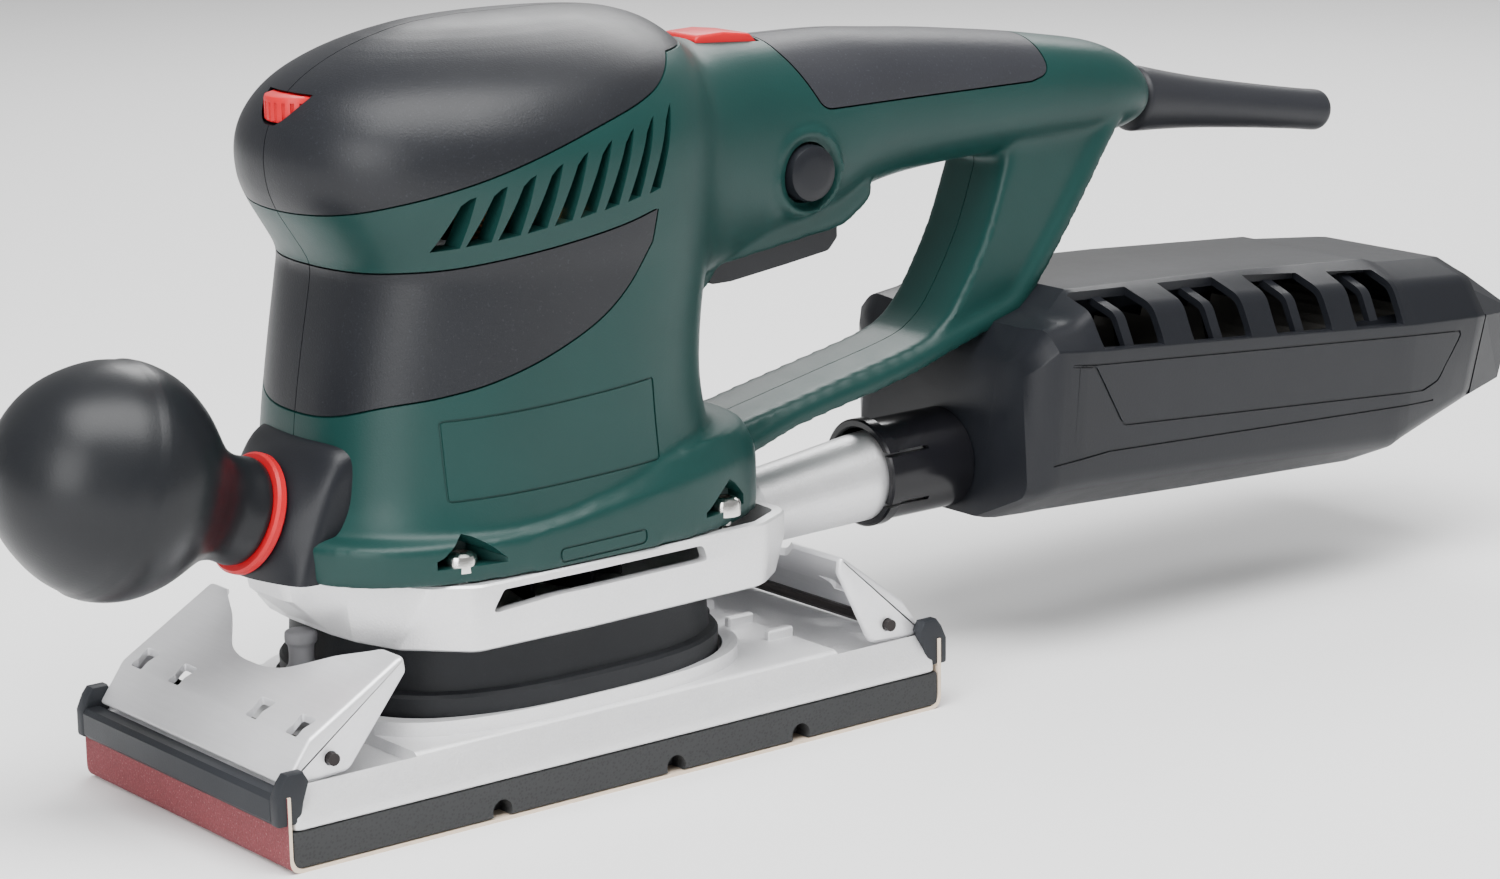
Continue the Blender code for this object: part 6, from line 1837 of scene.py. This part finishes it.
# ---- drive -------------------------------------------------------------------------------
@dataclass
class Drive:
    """The motor, the electrics and the small hardware, which keep their CAD shapes."""

    finishes: dict[str, Finish] = field(default_factory=lambda: {
        "rotor_shaft": BRIGHT_STEEL, "armature": LAMINATED, "stator": LAMINATED,
        "commutator": COPPER, "fan": BLACK, "upper_bearing": BRIGHT_STEEL,
        "lower_bearing": BRIGHT_STEEL, "eccentric": DARK_STEEL,
        "eccentric_bearing": BRIGHT_STEEL, "brush_left": BRASS, "brush_right": BRASS,
        "switch_unit": GLOSS_BLACK, "speed_control": BRASS, "knob_stud": BRIGHT_STEEL,
        "front_clamp_pin": DARK_STEEL, "rear_clamp_pin": DARK_STEEL,
        "front_clamp_spring": DARK_STEEL, "rear_clamp_spring": DARK_STEEL,
        "filter_element": FILTER, "filter_frame": BLACK,
        "shell_screw_1": BRIGHT_STEEL, "shell_screw_2": BRIGHT_STEEL,
        "shell_screw_3": BRIGHT_STEEL, "shell_screw_4": BRIGHT_STEEL})

    def screws(self) -> None:
        """Make the flange screws: a domed head with a deep star socket on its shank."""
        for number in range(1, 5):
            name = f"flange_screw_{number}"
            low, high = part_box(name)
            middle = (low + high) / 2
            radius = min(high.x - low.x, high.y - low.y) / 2
            top = high.z
            profile = [(low.z, 1.6 * MM), (top - 4.4 * MM, 1.6 * MM), (top - 4.4 * MM, radius),
                       (top - 1.6 * MM, radius), (top - 0.7 * MM, radius * 0.92),
                       (top - 0.15 * MM, radius * 0.7), (top, radius * 0.56)]
            head = solid(name + "_look", turned(profile, (middle.x, middle.y, 0), (0, 0, 1), 40))
            star = []
            for i in range(12):
                angle = math.tau * i / 12
                reach = radius * (0.5 if i % 2 else 0.36)
                star.append((middle.x + math.cos(angle) * reach,
                             middle.y + math.sin(angle) * reach))
            carve(head, Cut.TAKE, [solid("star", slab(star, top - 2.4 * MM, top + 1 * MM, "Z"))])
            finished(head, BRIGHT_STEEL, "housing", [name])

    def build(self, nodes: dict[str, bpy.types.Object]) -> None:
        """Dress the carried-over nodes and make the screws."""
        for name, finish in self.finishes.items():
            dress_node(nodes[name], finish)
        self.screws()


# ---- studio ------------------------------------------------------------------------------
@dataclass
class Studio:
    """The pale floor, the soft lights and the camera."""

    azimuth: float = -37.988
    elevation: float = 13.378
    roll: float = -0.945
    lens: float = 93.6
    place: tuple[float, float, float] = (-0.5164, -0.7530, 0.2917)
    floor_colour: Colour = (0.93, 0.93, 0.93)

    def floor(self) -> None:
        """Make the floor."""
        bm = bmesh.new()
        bmesh.ops.create_grid(bm, x_segments=4, y_segments=4, size=6.0)
        floor = solid("studio_floor", bm)
        tree = Tree("studio_floor")
        cloud = tree.noise(400.0, 2.0)
        shade = tree.mix(cloud, tuple(c * 0.99 for c in self.floor_colour), self.floor_colour)
        floor.data.materials.append(tree.dress(base_color=shade, roughness=0.9))

    def camera(self) -> None:
        """Make the camera."""
        data = bpy.data.cameras.new("camera")
        data.lens, data.sensor_width, data.clip_start = self.lens, 36.0, 0.01
        camera = bpy.data.objects.new("camera", data)
        a, e, r = (math.radians(v) for v in (self.azimuth, self.elevation, self.roll))
        back = Vector((math.sin(a) * math.cos(e), -math.cos(a) * math.cos(e), math.sin(e)))
        across = Vector((0, 0, 1)).cross(back).normalized()
        up = back.cross(across)
        across, up = (across * math.cos(r) + up * math.sin(r),
                      up * math.cos(r) - across * math.sin(r))
        turn = Matrix((across, up, back)).transposed().to_4x4()
        camera.matrix_world = Matrix.Translation(self.place) @ turn
        bpy.context.scene.collection.objects.link(camera)
        bpy.context.scene.camera = camera

    def light(self, name: str, place: Sequence[float], size: Pair, power: float) -> None:
        """Make a soft area light that faces the machine."""
        data = bpy.data.lights.new(name, "AREA")
        data.shape, data.size, data.size_y, data.energy = "RECTANGLE", size[0], size[1], power
        lamp = bpy.data.objects.new(name, data)
        toward = Vector((0.07, 0, 0.08)) - Vector(place)
        lamp.matrix_world = Matrix.Translation(place) @ toward.to_track_quat(
            "-Z", "Y").to_matrix().to_4x4()
        bpy.context.scene.collection.objects.link(lamp)

    def build(self) -> None:
        """Set up the studio."""
        world = bpy.data.worlds.new("studio")
        world.use_nodes = True
        world.node_tree.nodes["Background"].inputs["Color"].default_value = (1, 1, 1, 1)
        world.node_tree.nodes["Background"].inputs["Strength"].default_value = 0.4
        bpy.context.scene.world = world
        self.floor()
        self.camera()
        self.light("top_softbox", (-0.1, -0.35, 1.2), (1.3, 0.8), 34.0)
        self.light("front_softbox", (-1.15, -0.55, 0.55), (0.7, 0.9), 13.0)
        self.light("rear_strip", (0.9, 0.8, 0.9), (0.9, 0.4), 12.0)


def main() -> None:
    """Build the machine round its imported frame."""
    logging.basicConfig(level=logging.INFO, format="%(message)s")
    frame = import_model()
    Studio().build()
    housing = Housing()
    head_form = solid("head_form", housing.head())
    Knob().build(head_form)
    discard(head_form)
    Dial().build()
    Controls().build()
    CordSleeve().build()
    LowerHousing().build()
    Boot().build()
    Pad().build()
    Clamp("front_clamp", -1).build()
    Clamp("rear_clamp", 1, horn=(66.5, 43.6)).build()
    DustBox().build()
    Drive().build(frame["nodes"])
    housing.build()


if __name__ == "__main__":
    main()
